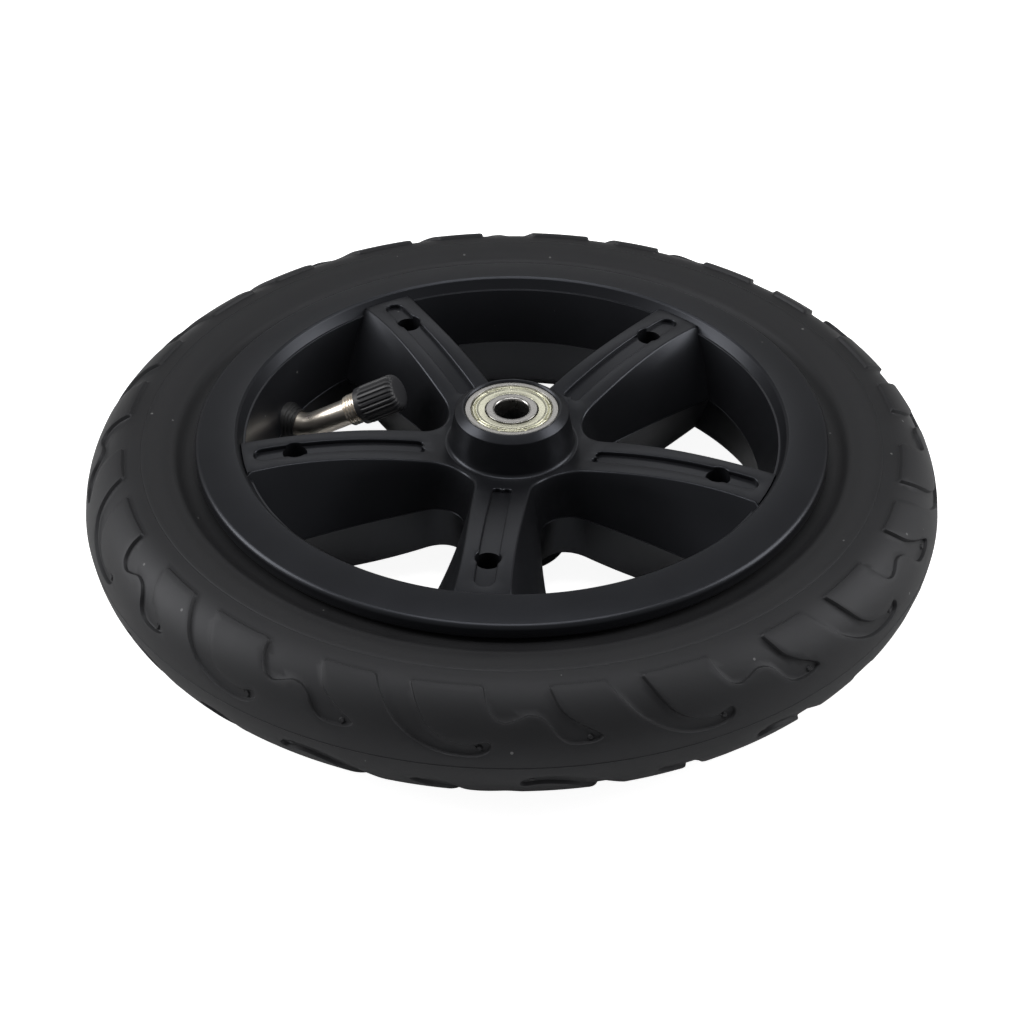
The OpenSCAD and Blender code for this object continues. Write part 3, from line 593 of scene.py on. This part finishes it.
def slot_parts(wells):
    """The outline of a slot's rounded edge, and the walls and floor below it."""
    round_r = 0.3
    rim_line, kinds = slot_line(round_r, wells)
    rows = [with_crown(rim_line)]
    for a in (30, 60, 90):
        off = round_r * (1 - math.sin(rad(a)))
        rows.append(with_crown(slot_line(off, wells)[0], round_r * (1 - math.cos(rad(a)))))
    verts, faces = [], []
    for upper, lower in zip(rows, rows[1:]):
        add_part(verts, faces, *band(upper, lower))
    wall_line = rows[-1]
    floor_line = with_crown(wall_line[:, :2], SLOT_DEPTH)
    count = len(kinds)
    for i in range(count):
        j = (i + 1) % count
        if "slot" in (kinds[i], kinds[j]):
            add_part(verts, faces, [wall_line[i], wall_line[j], floor_line[j], floor_line[i]],
                     [(0, 1, 2, 3)])
    if not wells:
        got, tris = fill([wall_line[:, :2]], [(x, 0.0) for x in np.arange(24, 58, 2.0)])
        add_part(verts, faces, with_crown(got, SLOT_DEPTH), tris)
        return rim_line, verts, faces
    cross = math.asin(SLOT_HALF / WELL_R)
    inner = []
    for mid_a in (math.pi, 0):
        inner.append([(SCREW_R + WELL_R * math.cos(mid_a + cross * k / 6),
                       WELL_R * math.sin(mid_a + cross * k / 6)) for k in range(-6, 7)])
    lobe_at = [i for i, kind in enumerate(kinds) if kind == "lobe"]
    half = len(lobe_at) // 2
    lower_lobe, upper_lobe = lobe_at[:half], lobe_at[half:]
    left = [tuple(wall_line[i][:2]) for i in range(0, lower_lobe[0] + 1)]
    left = [tuple(wall_line[i][:2]) for i in range(upper_lobe[-1], count)] + left
    left_loop = left + [p for p in inner[0][::-1]][1:-1]
    right = [tuple(wall_line[i][:2]) for i in range(lower_lobe[-1], upper_lobe[0] + 1)]
    right_loop = right + [p for p in inner[1][::-1]][1:-1]
    for loop, xs in ((left_loop, np.arange(24, 47, 2.0)), (right_loop, (55.0, 57.0))):
        got, tris = fill([loop], [(x, 0.0) for x in xs])
        add_part(verts, faces, with_crown(got, SLOT_DEPTH), tris)
    around = []
    for arc_line in (inner[1], [wall_line[i][:2] for i in upper_lobe], inner[0],
                     [wall_line[i][:2] for i in lower_lobe]):
        pts = [tuple(p) for p in arc_line]
        around.append(pts)
    for k, pts in enumerate(around):
        top = with_crown(pts, SLOT_DEPTH if k % 2 == 0 else 0.3)
        seat = np.column_stack([np.array(pts), np.full(len(pts), SCREW_SEAT_Z)])
        add_part(verts, faces, *band(top, seat, closed=False))
    ring = [p for pts in around for p in pts[:-1]]
    base = len(verts)
    verts.extend([(x, y, SCREW_SEAT_Z) for x, y in ring])
    faces.append(tuple(range(base, base + len(ring))))
    return rim_line, verts, faces


def spider(face_half, wells):
    """The five spokes and the web round the hub, of one half, standing on the seam."""
    verts, faces, top_loop, foot_loop = [], [], [], []
    for w in range(SPOKES):
        columns = turned(window_columns(face_half), SPOKE_AZ + WINDOW_AZ + SPOKE_PITCH * w)
        n, m = columns.shape[:2]
        flat = columns.reshape(-1, 3)
        add_part(verts, faces, flat, [(i * m + k, (i + 1) * m + k, (i + 1) * m + k + 1, i * m + k + 1)
                                      for i in range(n - 1) for k in range(m - 1)])
        following = turned(columns, SPOKE_PITCH)
        top_end, foot_end = columns[-1][0], columns[-1][-1]
        top_next, foot_next = following[0][0], following[0][-1]

        def between(a, b):
            a0, a1 = math.atan2(a[1], a[0]), math.atan2(b[1], b[0])
            a1 += 2 * math.pi * (a1 < a0)
            r0, r1 = math.hypot(a[0], a[1]), math.hypot(b[0], b[1])
            out = []
            for k in range(1, 8):
                t = k / 8
                r, ang = r0 + (r1 - r0) * t, a0 + (a1 - a0) * t
                out.append((r * math.cos(ang), r * math.sin(ang)))
            return out

        top_arc = between(top_end, top_next)
        foot_arc = between(foot_end, foot_next)
        top_loop += [tuple(p[:2]) for p in columns[:, 0]] + top_arc
        foot_loop += [tuple(p[:2]) for p in columns[:, -1]] + foot_arc
        end = [tuple(p) for p in columns[-1]]
        end += [(x, y, PART_GAP) for x, y in foot_arc]
        end += [tuple(p) for p in following[0][::-1]]
        end += [(x, y, crown(math.hypot(x, y))) for x, y in reversed(top_arc)]
        add_part(verts, faces, end, [tuple(range(len(end)))])
    hub_hole = [(12 * math.cos(a), 12 * math.sin(a)) for a in np.arange(48) * math.pi / 24]
    holes = []
    rim_line, slot_verts, slot_faces = slot_parts(wells)
    for s in range(SPOKES):
        az = SPOKE_AZ + SPOKE_PITCH * s
        holes.append([tuple(p) for p in turned(rim_line, az)])
        add_part(verts, faces, turned(slot_verts, az), slot_faces)
    extra = []
    for s in range(SPOKES):
        row = [(x, y) for x in np.arange(22, 60, 2.0) for y in (-3.9, 3.9)]
        row += [(18.0, y) for y in (-5, -2.5, 0, 2.5, 5)]
        extra += [tuple(p) for p in turned(np.array(row), SPOKE_AZ + SPOKE_PITCH * s)]
    extra += [(16 * math.cos(a), 16 * math.sin(a)) for a in np.arange(60) * math.pi / 30]
    loop = np.array(top_loop)
    extra = [p for p, ok in zip(extra, inside(extra, [loop] + holes)
             & (distance(extra, loop) > 0.5)) if ok]
    ends = [(r * math.cos(a), r * math.sin(a))
            for r in (SPOKE_END_R - 0.2, SPOKE_END_R, SPOKE_END_R + SPOKE_END_W)
            for s in range(SPOKES) for a in rad(SPOKE_AZ + SPOKE_PITCH * s) + np.linspace(-0.2, 0.2, 61)]
    extra += [p for p, ok in zip(ends, inside(ends, [loop]) & (distance(ends, loop) > 0.12)) if ok]
    got, tris = fill([top_loop, hub_hole] + holes, extra)
    add_part(verts, faces, with_crown(got), tris)
    got, tris = fill([foot_loop, hub_hole])
    add_part(verts, faces, np.column_stack([got, np.full(len(got), PART_GAP)]), tris)
    high = with_crown(hub_hole)
    low = np.column_stack([np.array(hub_hole), np.full(len(hub_hole), PART_GAP)])
    add_part(verts, faces, *band(high, low))
    return verts, faces


BARREL = [
    (59.14, PART_GAP, 0), (59.0, PART_BEVEL, 0), (62.1, 13.6, 0.15), (62.6, 13.6, 0.12),
    (63.85, 15.95, 0.3), (64.45, 16.38, 0.25), (73.65, 15.12, 1.25), (73.65, 12.3, 0.3),
    (72.55, 11.0, 0.3), (67.0, 11.0, 0.5), (67.0, 6.0, 0.3), (62.8, 5.4, 0.5), (62.8, PART_GAP, 0)
]
HUB = [
    (9.5, PART_GAP, 0), (9.5, 12.57, 0.15), (11.01, 12.57, 0), (11.01, 19.65, 0), (11.3, 20.0, 0.12),
    (11.6, 20.0, 0.15), (13.3, 18.6, 0.3), (14.64, 11.2, 0), (14.69, 10.93, 0), (14.82, 10.68, 0),
    (15.04, 10.46, 0), (15.32, 10.34, 0), (15.6, 10.33, 0), (15.6, 9.8, 0), (14.9, 9.8, 0),
    (14.9, PART_GAP, 0)
]


def flip(verts):
    return [(x, y, -z) for x, y, z in verts]


def rim_half(name, side, face_half, wells):
    verts, faces = [], []
    add_part(verts, faces, *revolve(rounded(BARREL, 4)))
    add_part(verts, faces, *revolve(rounded(HUB, 5), 144))
    add_part(verts, faces, *spider(face_half, wells))
    if side < 0:
        verts = flip(verts)
    return put_mesh(name, verts, faces, smooth=32, weld=0.001)


# ---------- valve ----------

STEM_R = 3.2
BEND_R = 8.0
BEND_DEG = 32
BEND_TURN = 24              # turn of the bend from straight up towards the window's far side
STEM_ROOT = 3.0
STEM_LEN = 21.2
THREAD_LEN = 11.2
THREAD_PITCH = 0.8
CAP_SEAT = 13.1
CAP_LEN = 10.8
CAP_R = 4.7
CAP_RIBS = 24

valve_out = Vector((math.cos(rad(VALVE_AZ)), math.sin(rad(VALVE_AZ)), 0))
valve_up = Vector((0, 0, 1))
valve_side = Vector((-valve_out.y, valve_out.x, 0))
valve_in = -valve_out
bend_up = valve_up * math.cos(rad(BEND_TURN)) - valve_side * math.sin(rad(BEND_TURN))
bend_side = valve_up * math.sin(rad(BEND_TURN)) + valve_side * math.cos(rad(BEND_TURN))


def on_valve(points):
    """From the valve's own axes (x up, z towards the axle, 0 at the barrel) to the wheel's."""
    base = valve_out * WAIST_R
    return [tuple(base + valve_up * p[0] + valve_side * p[1] + valve_in * p[2]) for p in points]


def on_bend(points):
    """From the axes of the stem's bend (x towards the inside of the bend) to the wheel's."""
    base = valve_out * WAIST_R
    return [tuple(base + bend_up * p[0] + bend_side * p[1] + valve_in * p[2]) for p in points]


def on_stem(points):
    """From the axes of the stem's straight length to the wheel's."""
    a = rad(BEND_DEG)
    base = valve_out * WAIST_R + bend_up * (BEND_R * (1 - math.cos(a)))
    base = base + valve_in * (STEM_ROOT + BEND_R * math.sin(a))
    along = bend_up * math.sin(a) + valve_in * math.cos(a)
    across = bend_up * math.cos(a) - valve_in * math.sin(a)
    return [tuple(base + across * p[0] + bend_side * p[1] + along * p[2]) for p in points]


def lathe(rows, count, shape=None):
    """A closed turned skin from (r, z) rows; shape(i, angle) may add to a row's radius."""
    verts, faces = [], []
    for i, (r, z) in enumerate(rows):
        for k in range(count):
            a = 2 * math.pi * k / count
            rr = r + (shape(i, a) if shape else 0)
            verts.append((rr * math.cos(a), rr * math.sin(a), z))
    n = len(rows)
    for i in range(n):
        j = (i + 1) % n
        for k in range(count):
            m = (k + 1) % count
            faces.append((i * count + k, i * count + m, j * count + m, j * count + k))
    return verts, faces


def stem_piece():
    verts, faces = [], []
    count = 48
    rings = []
    for k in range(0, 13):
        t = k / 12
        a = rad(BEND_DEG) * t
        centre = (BEND_R * (1 - math.cos(a)), 0, STEM_ROOT + BEND_R * math.sin(a))
        rings.append([
            (centre[0] + STEM_R * math.cos(b) * math.cos(a), STEM_R * math.sin(b),
             centre[2] - STEM_R * math.cos(b) * math.sin(a))
            for b in np.arange(count) * 2 * math.pi / count
        ])
    root = [[(STEM_R * math.cos(b), STEM_R * math.sin(b), z)
             for b in np.arange(count) * 2 * math.pi / count] for z in (-3.9, -2, 0, 1.5, 2.5)]
    placed = [on_bend(ring) for ring in root + rings]
    start = STEM_LEN - THREAD_LEN
    zs = list(np.linspace(0.6, start - 0.9, 8)) + [start - 0.5, start - 0.35]
    zs += list(np.arange(start - 0.25, STEM_LEN - 0.3, THREAD_PITCH / 8)) + [STEM_LEN - 0.2, STEM_LEN]

    def radius(z, b):
        if z <= start - 0.45:
            return STEM_R
        turn = ((z - start) / THREAD_PITCH - b / (2 * math.pi)) % 1
        crest = max(0.0, 1 - abs(turn - 0.5) * 3.4)
        r = 3.5 + 0.35 * min(1.0, crest * 1.5)
        if z > STEM_LEN - 0.5:
            r -= 0.25
        rise = min(1.0, (z - (start - 0.45)) / 0.15)
        return STEM_R + (r - STEM_R) * rise

    for z in zs:
        placed.append(on_stem([(radius(z, b) * math.cos(b), radius(z, b) * math.sin(b), z)
                               for b in np.arange(count) * 2 * math.pi / count]))
    bore = [(2.3, STEM_LEN), (2.3, STEM_LEN - 6)]
    for r, z in bore:
        placed.append(on_stem([(r * math.cos(b), r * math.sin(b), z)
                               for b in np.arange(count) * 2 * math.pi / count]))
    for ring in placed:
        verts.extend(ring)
    for i in range(len(placed) - 1):
        for k in range(count):
            m = (k + 1) % count
            faces.append((i * count + k, i * count + m, (i + 1) * count + m, (i + 1) * count + k))
    faces.append(tuple(range(count)))
    last = (len(placed) - 1) * count
    faces.append(tuple(range(last, last + count)))
    return put_mesh("valve_stem_plated", verts, faces, smooth=40, weld=0.001)


def cap_piece():
    rows = [(3.95, 8.4), (3.95, 0.25), (4.15, 0.0), (4.35, 0.0), (4.55, 0.12), (4.6, 0.3), (4.6, 1.25),
            (4.66, 1.42), (4.7, 1.6), (4.7, 1.9), (4.7, 2.3)]
    rows += [(4.7, z) for z in np.linspace(3.2, CAP_LEN - 1.7, 6)]
    dome = 1.6
    for k in range(1, 9):
        a = rad(90 * k / 8)
        rows.append((CAP_R - dome + dome * math.cos(a), CAP_LEN - dome + dome * math.sin(a)))
    rows += [(1.5, CAP_LEN), (0.05, CAP_LEN)]
    rows += [(0.05, 8.4)]
    fade = []
    for i, (r, z) in enumerate(rows):
        on = 0.0
        if i >= 7:
            on = min(1.0, max(0.0, (z - 1.4) / 0.4))
            on *= min(1.0, max(0.0, (r - 3.4) / 0.9)) if z > CAP_LEN - 1.7 else 1.0
        fade.append(on)
    fade[-1] = 0.0

    def ribs(i, a):
        phase = (a * CAP_RIBS / (2 * math.pi)) % 1
        dip = max(0.0, 1 - abs(phase - 0.5) / 0.22)
        return -0.34 * fade[i] * math.sqrt(min(1.0, dip * 1.2)) if dip > 0 else 0.0

    verts, faces = lathe(rows, 240, ribs)
    verts = on_stem([(x, y, z + CAP_SEAT) for x, y, z in verts])
    return put_mesh("valve_cap_ribbed", verts, faces, smooth=38, weld=0.001)


def collar_piece():
    """The rubber foot round the stem, in steps that narrow towards its tip."""
    profile = [(3.25, -3.8, 0), (3.25, 2.58, 0.08), (3.75, 2.58, 0.2)]
    for r, z in ((4.06, 1.81), (4.5, 1.05), (4.93, 0.28)):
        profile += [(r - 0.4, z + 0.02, 0.1), (r, z, 0.2)]
    profile += [(4.93, -3.8, 0)]
    verts, faces = revolve(rounded(profile, 3), 96)
    return put_mesh("valve_collar_rings", on_valve(verts), faces, smooth=45, weld=0.001)


# ---------- bearings ----------

BEARING_IN_Z = 12.57
BEARING_W = 7.0
CRIMPS = 9


def bearing_pieces(side):
    name = "front" if side > 0 else "back"
    top = BEARING_IN_Z + BEARING_W
    outer = [(8.95, BEARING_IN_Z + 0.6, 0), (8.95, top - 0.62, 0), (9.52, top - 0.62, 0),
             (9.6, top, 0.1), (11.0, top, 0.3), (11.0, BEARING_IN_Z, 0.42), (9.52, BEARING_IN_Z, 0.12),
             (9.52, BEARING_IN_Z + 0.6, 0)]
    inner = [(4.0, BEARING_IN_Z, 0.42), (6.05, BEARING_IN_Z, 0.12), (6.0, top, 0.14), (4.0, top, 0.55)]
    low = top - 0.5
    face = low + 0.35
    plate = [(6.25, low, 0), (6.25, face - 0.06, 0.1), (7.75, face - 0.06, 0.2), (8.2, face + 0.1, 0.12),
             (8.45, face + 0.1, 0.1), (8.58, face - 0.25, 0.05), (8.68, face - 0.25, 0.05),
             (8.78, face + 0.08, 0.1), (9.15, face + 0.12, 0.12), (9.32, face - 0.26, 0.06),
             (9.45, low, 0)]
    plate = rounded(plate, 3)
    pieces = []
    for kind, profile in (("outer", outer), ("inner", inner)):
        verts, faces = revolve(rounded(profile, 4), 160)
        pieces.append((kind, verts, faces))
    verts, faces = revolve(plate, 360)
    m = len(plate)
    notch_at = [(11 + 360 / CRIMPS * k) % 360 for k in range(CRIMPS)]
    moved = []
    for i, (x, y, z) in enumerate(verts):
        a = math.degrees(math.atan2(y, x)) % 360
        r = math.hypot(x, y)
        away = min(min(abs(a - n), 360 - abs(a - n)) for n in notch_at)
        if r > 8.72 and z > face - 0.1 and away < 1.6:
            z -= 0.34
        moved.append((x, y, z))
    pieces.append(("shield", moved, faces))
    made = {}
    for kind, verts, faces in pieces:
        if side < 0:
            verts = flip(verts)
        made[kind] = put_mesh(f"{name}_{kind}_turned", verts, faces, smooth=35, weld=0.001)
    return made


# ---------- finishes ----------

def add_node(tree, kind, at=(0, 0), **values):
    node = tree.nodes.new(kind)
    node.location = at
    for key, value in values.items():
        setattr(node, key, value)
    return node


def new_group(name, inputs, outputs):
    """An empty node group with named inputs (name, default) and outputs (name, socket type)."""
    tree = bpy.data.node_groups.new(name, "ShaderNodeTree")
    for label, default in inputs:
        socket = tree.interface.new_socket(label, in_out="INPUT", socket_type="NodeSocketFloat")
        socket.default_value = default
    for label, kind in outputs:
        tree.interface.new_socket(label, in_out="OUTPUT", socket_type=kind)
    return tree, tree.nodes.new("NodeGroupInput"), tree.nodes.new("NodeGroupOutput")


def math_node(tree, operation, a, b=None):
    node = tree.nodes.new("ShaderNodeMath")
    node.operation = operation
    for socket, value in zip(node.inputs, (a, b)):
        if value is None:
            continue
        if isinstance(value, (int, float)):
            socket.default_value = value
        else:
            tree.links.new(value, socket)
    return node.outputs[0]


def grain_group():
    """Fine moulded grain: a height for bumps and a slow cloudiness for roughness."""
    tree, given, result = new_group(
        "moulded_grain", [("Size", 0.0004), ("Cloud Size", 0.012)],
        [("Height", "NodeSocketFloat"), ("Cloud", "NodeSocketFloat")]
    )
    place = tree.nodes.new("ShaderNodeTexCoord")
    fine_scale = math_node(tree, "DIVIDE", 1.0, given.outputs["Size"])
    cloud_scale = math_node(tree, "DIVIDE", 1.0, given.outputs["Cloud Size"])
    fine = add_node(tree, "ShaderNodeTexNoise")
    fine.inputs["Detail"].default_value = 3
    cloud = add_node(tree, "ShaderNodeTexNoise")
    cloud.inputs["Detail"].default_value = 4
    for tex, scale in ((fine, fine_scale), (cloud, cloud_scale)):
        tree.links.new(place.outputs["Object"], tex.inputs["Vector"])
        tree.links.new(scale, tex.inputs["Scale"])
    tree.links.new(fine.outputs["Fac"], result.inputs["Height"])
    tree.links.new(cloud.outputs["Fac"], result.inputs["Cloud"])
    return tree


def speck_group():
    """A few small pale specks and scuffs, as a mask."""
    tree, given, result = new_group(
        "specks", [("Size", 0.003), ("Share", 0.1)], [("Mask", "NodeSocketFloat")]
    )
    place = tree.nodes.new("ShaderNodeTexCoord")
    scale = math_node(tree, "DIVIDE", 1.0, given.outputs["Size"])
    cells = add_node(tree, "ShaderNodeTexVoronoi")
    tree.links.new(place.outputs["Object"], cells.inputs["Vector"])
    tree.links.new(scale, cells.inputs["Scale"])
    near = math_node(tree, "LESS_THAN", cells.outputs["Distance"], 0.13)
    split = add_node(tree, "ShaderNodeSeparateColor")
    tree.links.new(cells.outputs["Color"], split.inputs["Color"])
    few = math_node(tree, "LESS_THAN", split.outputs[0], given.outputs["Share"])
    both = math_node(tree, "MULTIPLY", near, few)
    tree.links.new(both, result.inputs["Mask"])
    return tree


GRAIN = grain_group()
SPECKS = speck_group()


def finish(name, colour, dark, rough, rough_swing, grain_mm, bump_mm, cloud_mm=14, metal=0.0,
           specular=0.5, speck_share=0.0, speck_colour=(0.2, 0.2, 0.2), speck_mm=3.0,
           glint=(1, 1, 1)):
    """A material whose colour, roughness and relief vary over the surface."""
    mat = bpy.data.materials.new(name)
    mat.use_nodes = True
    tree = mat.node_tree
    shader = tree.nodes["Principled BSDF"]
    shader.inputs["Metallic"].default_value = metal
    shader.inputs["Specular IOR Level"].default_value = specular
    shader.inputs["Specular Tint"].default_value = (*glint, 1)
    grain = add_node(tree, "ShaderNodeGroup", (-900, 0), node_tree=GRAIN)
    grain.inputs["Size"].default_value = grain_mm * MM
    grain.inputs["Cloud Size"].default_value = cloud_mm * MM
    mix = add_node(tree, "ShaderNodeMix", (-500, 200), data_type="RGBA")
    mix.inputs["A"].default_value = (*dark, 1)
    mix.inputs["B"].default_value = (*colour, 1)
    tree.links.new(grain.outputs["Cloud"], mix.inputs["Factor"])
    shade = mix.outputs["Result"]
    if speck_share:
        specks = add_node(tree, "ShaderNodeGroup", (-900, 400), node_tree=SPECKS)
        specks.inputs["Share"].default_value = speck_share
        specks.inputs["Size"].default_value = speck_mm * MM
        over = add_node(tree, "ShaderNodeMix", (-250, 300), data_type="RGBA")
        over.inputs["B"].default_value = (*speck_colour, 1)
        tree.links.new(specks.outputs["Mask"], over.inputs["Factor"])
        tree.links.new(shade, over.inputs["A"])
        shade = over.outputs["Result"]
    tree.links.new(shade, shader.inputs["Base Color"])
    swing = add_node(tree, "ShaderNodeMapRange", (-500, -100))
    swing.inputs["To Min"].default_value = rough - rough_swing
    swing.inputs["To Max"].default_value = rough + rough_swing
    tree.links.new(grain.outputs["Cloud"], swing.inputs["Value"])
    tree.links.new(swing.outputs["Result"], shader.inputs["Roughness"])
    bump = add_node(tree, "ShaderNodeBump", (-300, -350))
    bump.inputs["Distance"].default_value = bump_mm * MM
    bump.inputs["Strength"].default_value = 1.0
    tree.links.new(grain.outputs["Height"], bump.inputs["Height"])
    tree.links.new(bump.outputs["Normal"], shader.inputs["Normal"])
    return mat


rim_plastic = finish("rim_plastic", (0.0082, 0.0085, 0.0098), (0.0058, 0.006, 0.007), 0.34, 0.05, 0.35,
                     0.004, specular=0.42, glint=(0.84, 0.88, 1.0), speck_share=0.012,
                     speck_colour=(0.08, 0.08, 0.08), speck_mm=2.2)
tyre_rubber = finish("tyre_rubber", (0.012, 0.012, 0.0127), (0.008, 0.008, 0.0086), 0.55, 0.08, 0.5,
                     0.012, specular=0.4, glint=(0.94, 0.95, 1.0), speck_share=0.03,
                     speck_colour=(0.12, 0.12, 0.12), speck_mm=2.5)
tube_rubber = finish("tube_rubber", (0.01, 0.01, 0.0105), (0.007, 0.007, 0.0075), 0.5, 0.06, 0.4, 0.01)
cap_plastic = finish("cap_plastic", (0.024, 0.024, 0.027), (0.015, 0.015, 0.017), 0.46, 0.06, 0.3, 0.008)
ring_steel = finish("ring_steel", (0.47, 0.46, 0.44), (0.36, 0.35, 0.34), 0.27, 0.06, 0.2, 0.002,
                    cloud_mm=5, metal=1.0)
shield_steel = finish("shield_steel", (0.86, 0.85, 0.68), (0.7, 0.69, 0.55), 0.27, 0.07, 0.18, 0.004,
                      cloud_mm=2.5, metal=1.0)
valve_plating = finish("valve_plating", (0.93, 0.86, 0.76), (0.8, 0.72, 0.62), 0.3, 0.07, 0.3, 0.003,
                       cloud_mm=3, metal=1.0)
valve_brass = finish("valve_brass", (0.72, 0.55, 0.27), (0.6, 0.44, 0.2), 0.3, 0.06, 0.3, 0.003,
                     cloud_mm=3, metal=1.0)
screw_steel = finish("screw_steel", (0.16, 0.16, 0.17), (0.09, 0.09, 0.1), 0.35, 0.08, 0.3, 0.004,
                     cloud_mm=2, metal=1.0)
plain_steel = finish("plain_steel", (0.5, 0.5, 0.51), (0.38, 0.38, 0.4), 0.3, 0.06, 0.25, 0.003,
                     cloud_mm=4, metal=1.0)

# the solids that stay as they are, under or inside the pieces that show
kept_finish = {
    "clamp_screws": screw_steel, "inner_tube": tube_rubber, "bead_wire_front": plain_steel,
    "bead_wire_back": plain_steel, "valve_core": valve_brass, "valve_pin": valve_brass,
    "valve_spring": plain_steel, "bearing_spacer": plain_steel, "front_balls": plain_steel,
    "front_cage": valve_brass, "front_shield_in": shield_steel, "back_balls": plain_steel,
    "back_cage": valve_brass, "back_shield_in": shield_steel
}
for node_name, material in kept_finish.items():
    for place in nodes[node_name].material_slots:
        place.material = material

dress(tyre_mesh(), "wheel", tyre_rubber, ["tyre"])
dress(rim_half("rim_front_moulding", 1, SPOKE_FRONT_HALF, True), "wheel", rim_plastic,
      ["rim_front"])
dress(rim_half("rim_back_moulding", -1, SPOKE_BACK_HALF, False), "wheel", rim_plastic,
      ["rim_back"])
dress(stem_piece(), "wheel", valve_plating, ["valve_stem"])
dress(collar_piece(), "wheel", tube_rubber, ["valve_collar"])
dress(cap_piece(), "cap", cap_plastic, ["valve_cap"])
for side, name in ((1, "front"), (-1, "back")):
    made = bearing_pieces(side)
    dress(made["outer"], "wheel", ring_steel, [f"{name}_outer_ring"])
    dress(made["inner"], "axle_set", ring_steel, [f"{name}_inner_ring"])
    dress(made["shield"], "wheel", shield_steel, [f"{name}_shield_out"])


# ---------- floor, light and camera ----------

FLOOR_GLOW = 0.92           # what the floor adds where it is seen
ROOM_LIGHT = 0.208          # the plain room round the wheel
CAMERA_TILT = 37.185        # degrees down from level
CAMERA_REACH = 0.516706     # metres from the target
CAMERA_TARGET = (0.000058, -0.014115, 0)
CAMERA_LENS = 78.051797     # on a 36 mm wide sensor


def studio_floor():
    z = cad_box[0][2] - 0.0002
    size = 3.0
    mesh = bpy.data.meshes.new("studio_floor")
    mesh.from_pydata([(-size, -size, z), (size, -size, z), (size, size, z), (-size, size, z)], [],
                     [(0, 1, 2, 3)])
    floor = bpy.data.objects.new("studio_floor", mesh)
    bpy.context.scene.collection.objects.link(floor)
    mat = bpy.data.materials.new("pale_floor")
    mat.use_nodes = True
    tree = mat.node_tree
    tree.nodes.clear()
    out = tree.nodes.new("ShaderNodeOutputMaterial")
    matt = tree.nodes.new("ShaderNodeBsdfDiffuse")
    matt.inputs["Color"].default_value = (0.8, 0.8, 0.8, 1)
    glow = tree.nodes.new("ShaderNodeEmission")
    rays = tree.nodes.new("ShaderNodeLightPath")
    seen = math_node(tree, "MAXIMUM", rays.outputs["Is Camera Ray"], rays.outputs["Is Transmission Ray"])
    strength = math_node(tree, "MULTIPLY", seen, FLOOR_GLOW)
    tree.links.new(strength, glow.inputs["Strength"])
    both = tree.nodes.new("ShaderNodeAddShader")
    tree.links.new(matt.outputs[0], both.inputs[0])
    tree.links.new(glow.outputs[0], both.inputs[1])
    tree.links.new(both.outputs[0], out.inputs["Surface"])
    mesh.materials.append(mat)


def studio_world():
    world = bpy.data.worlds.new("studio")
    bpy.context.scene.world = world
    world.use_nodes = True
    tree = world.node_tree
    tree.nodes.clear()
    out = tree.nodes.new("ShaderNodeOutputWorld")
    back = tree.nodes.new("ShaderNodeBackground")
    rays = tree.nodes.new("ShaderNodeLightPath")
    seen = math_node(tree, "MAXIMUM", rays.outputs["Is Camera Ray"], rays.outputs["Is Transmission Ray"])
    strength = tree.nodes.new("ShaderNodeMapRange")
    strength.inputs["To Min"].default_value = ROOM_LIGHT
    back.inputs["Color"].default_value = (1, 1, 1, 1)
    strength.inputs["To Max"].default_value = 1.0
    tree.links.new(seen, strength.inputs["Value"])
    tree.links.new(strength.outputs["Result"], back.inputs["Strength"])
    tree.links.new(back.outputs[0], out.inputs["Surface"])


def soft_lamp(name, at, target, size, watts, colour=(1, 1, 1)):
    data = bpy.data.lights.new(name, "AREA")
    data.shape = "RECTANGLE"
    data.size, data.size_y = size
    data.energy = watts
    data.color = colour
    lamp = bpy.data.objects.new(name, data)
    bpy.context.scene.collection.objects.link(lamp)
    lamp.location = at
    lamp.rotation_euler = (Vector(target) - Vector(at)).to_track_quat("-Z", "Y").to_euler()
    return lamp


def photo_camera():
    data = bpy.data.cameras.new("camera")
    data.sensor_width = 36
    data.lens = CAMERA_LENS
    data.clip_start, data.clip_end = 0.05, 20
    camera = bpy.data.objects.new("camera", data)
    bpy.context.scene.collection.objects.link(camera)
    tilt = rad(CAMERA_TILT)
    target = Vector(CAMERA_TARGET)
    camera.location = target + Vector((0, -math.cos(tilt), math.sin(tilt))) * CAMERA_REACH
    camera.rotation_euler = (target - camera.location).to_track_quat("-Z", "Y").to_euler()
    bpy.context.scene.camera = camera


studio_floor()
studio_world()
soft_lamp("left_box", (-0.9, 0.1, 0.55), (0, 0, 0), (0.5, 0.8), 7)
soft_lamp("right_box", (0.9, 0.1, 0.55), (0, 0, 0), (0.5, 0.8), 5.5)
soft_lamp("top_box", (0.0, 0.0, 1.15), (0, 0, 0), (0.8, 0.4), 4)
soft_lamp("back_box", (0.0, 0.95, 0.7), (0, 0, 0), (0.7, 0.25), 0.6)
photo_camera()
bpy.context.scene.view_settings.view_transform = "Standard"
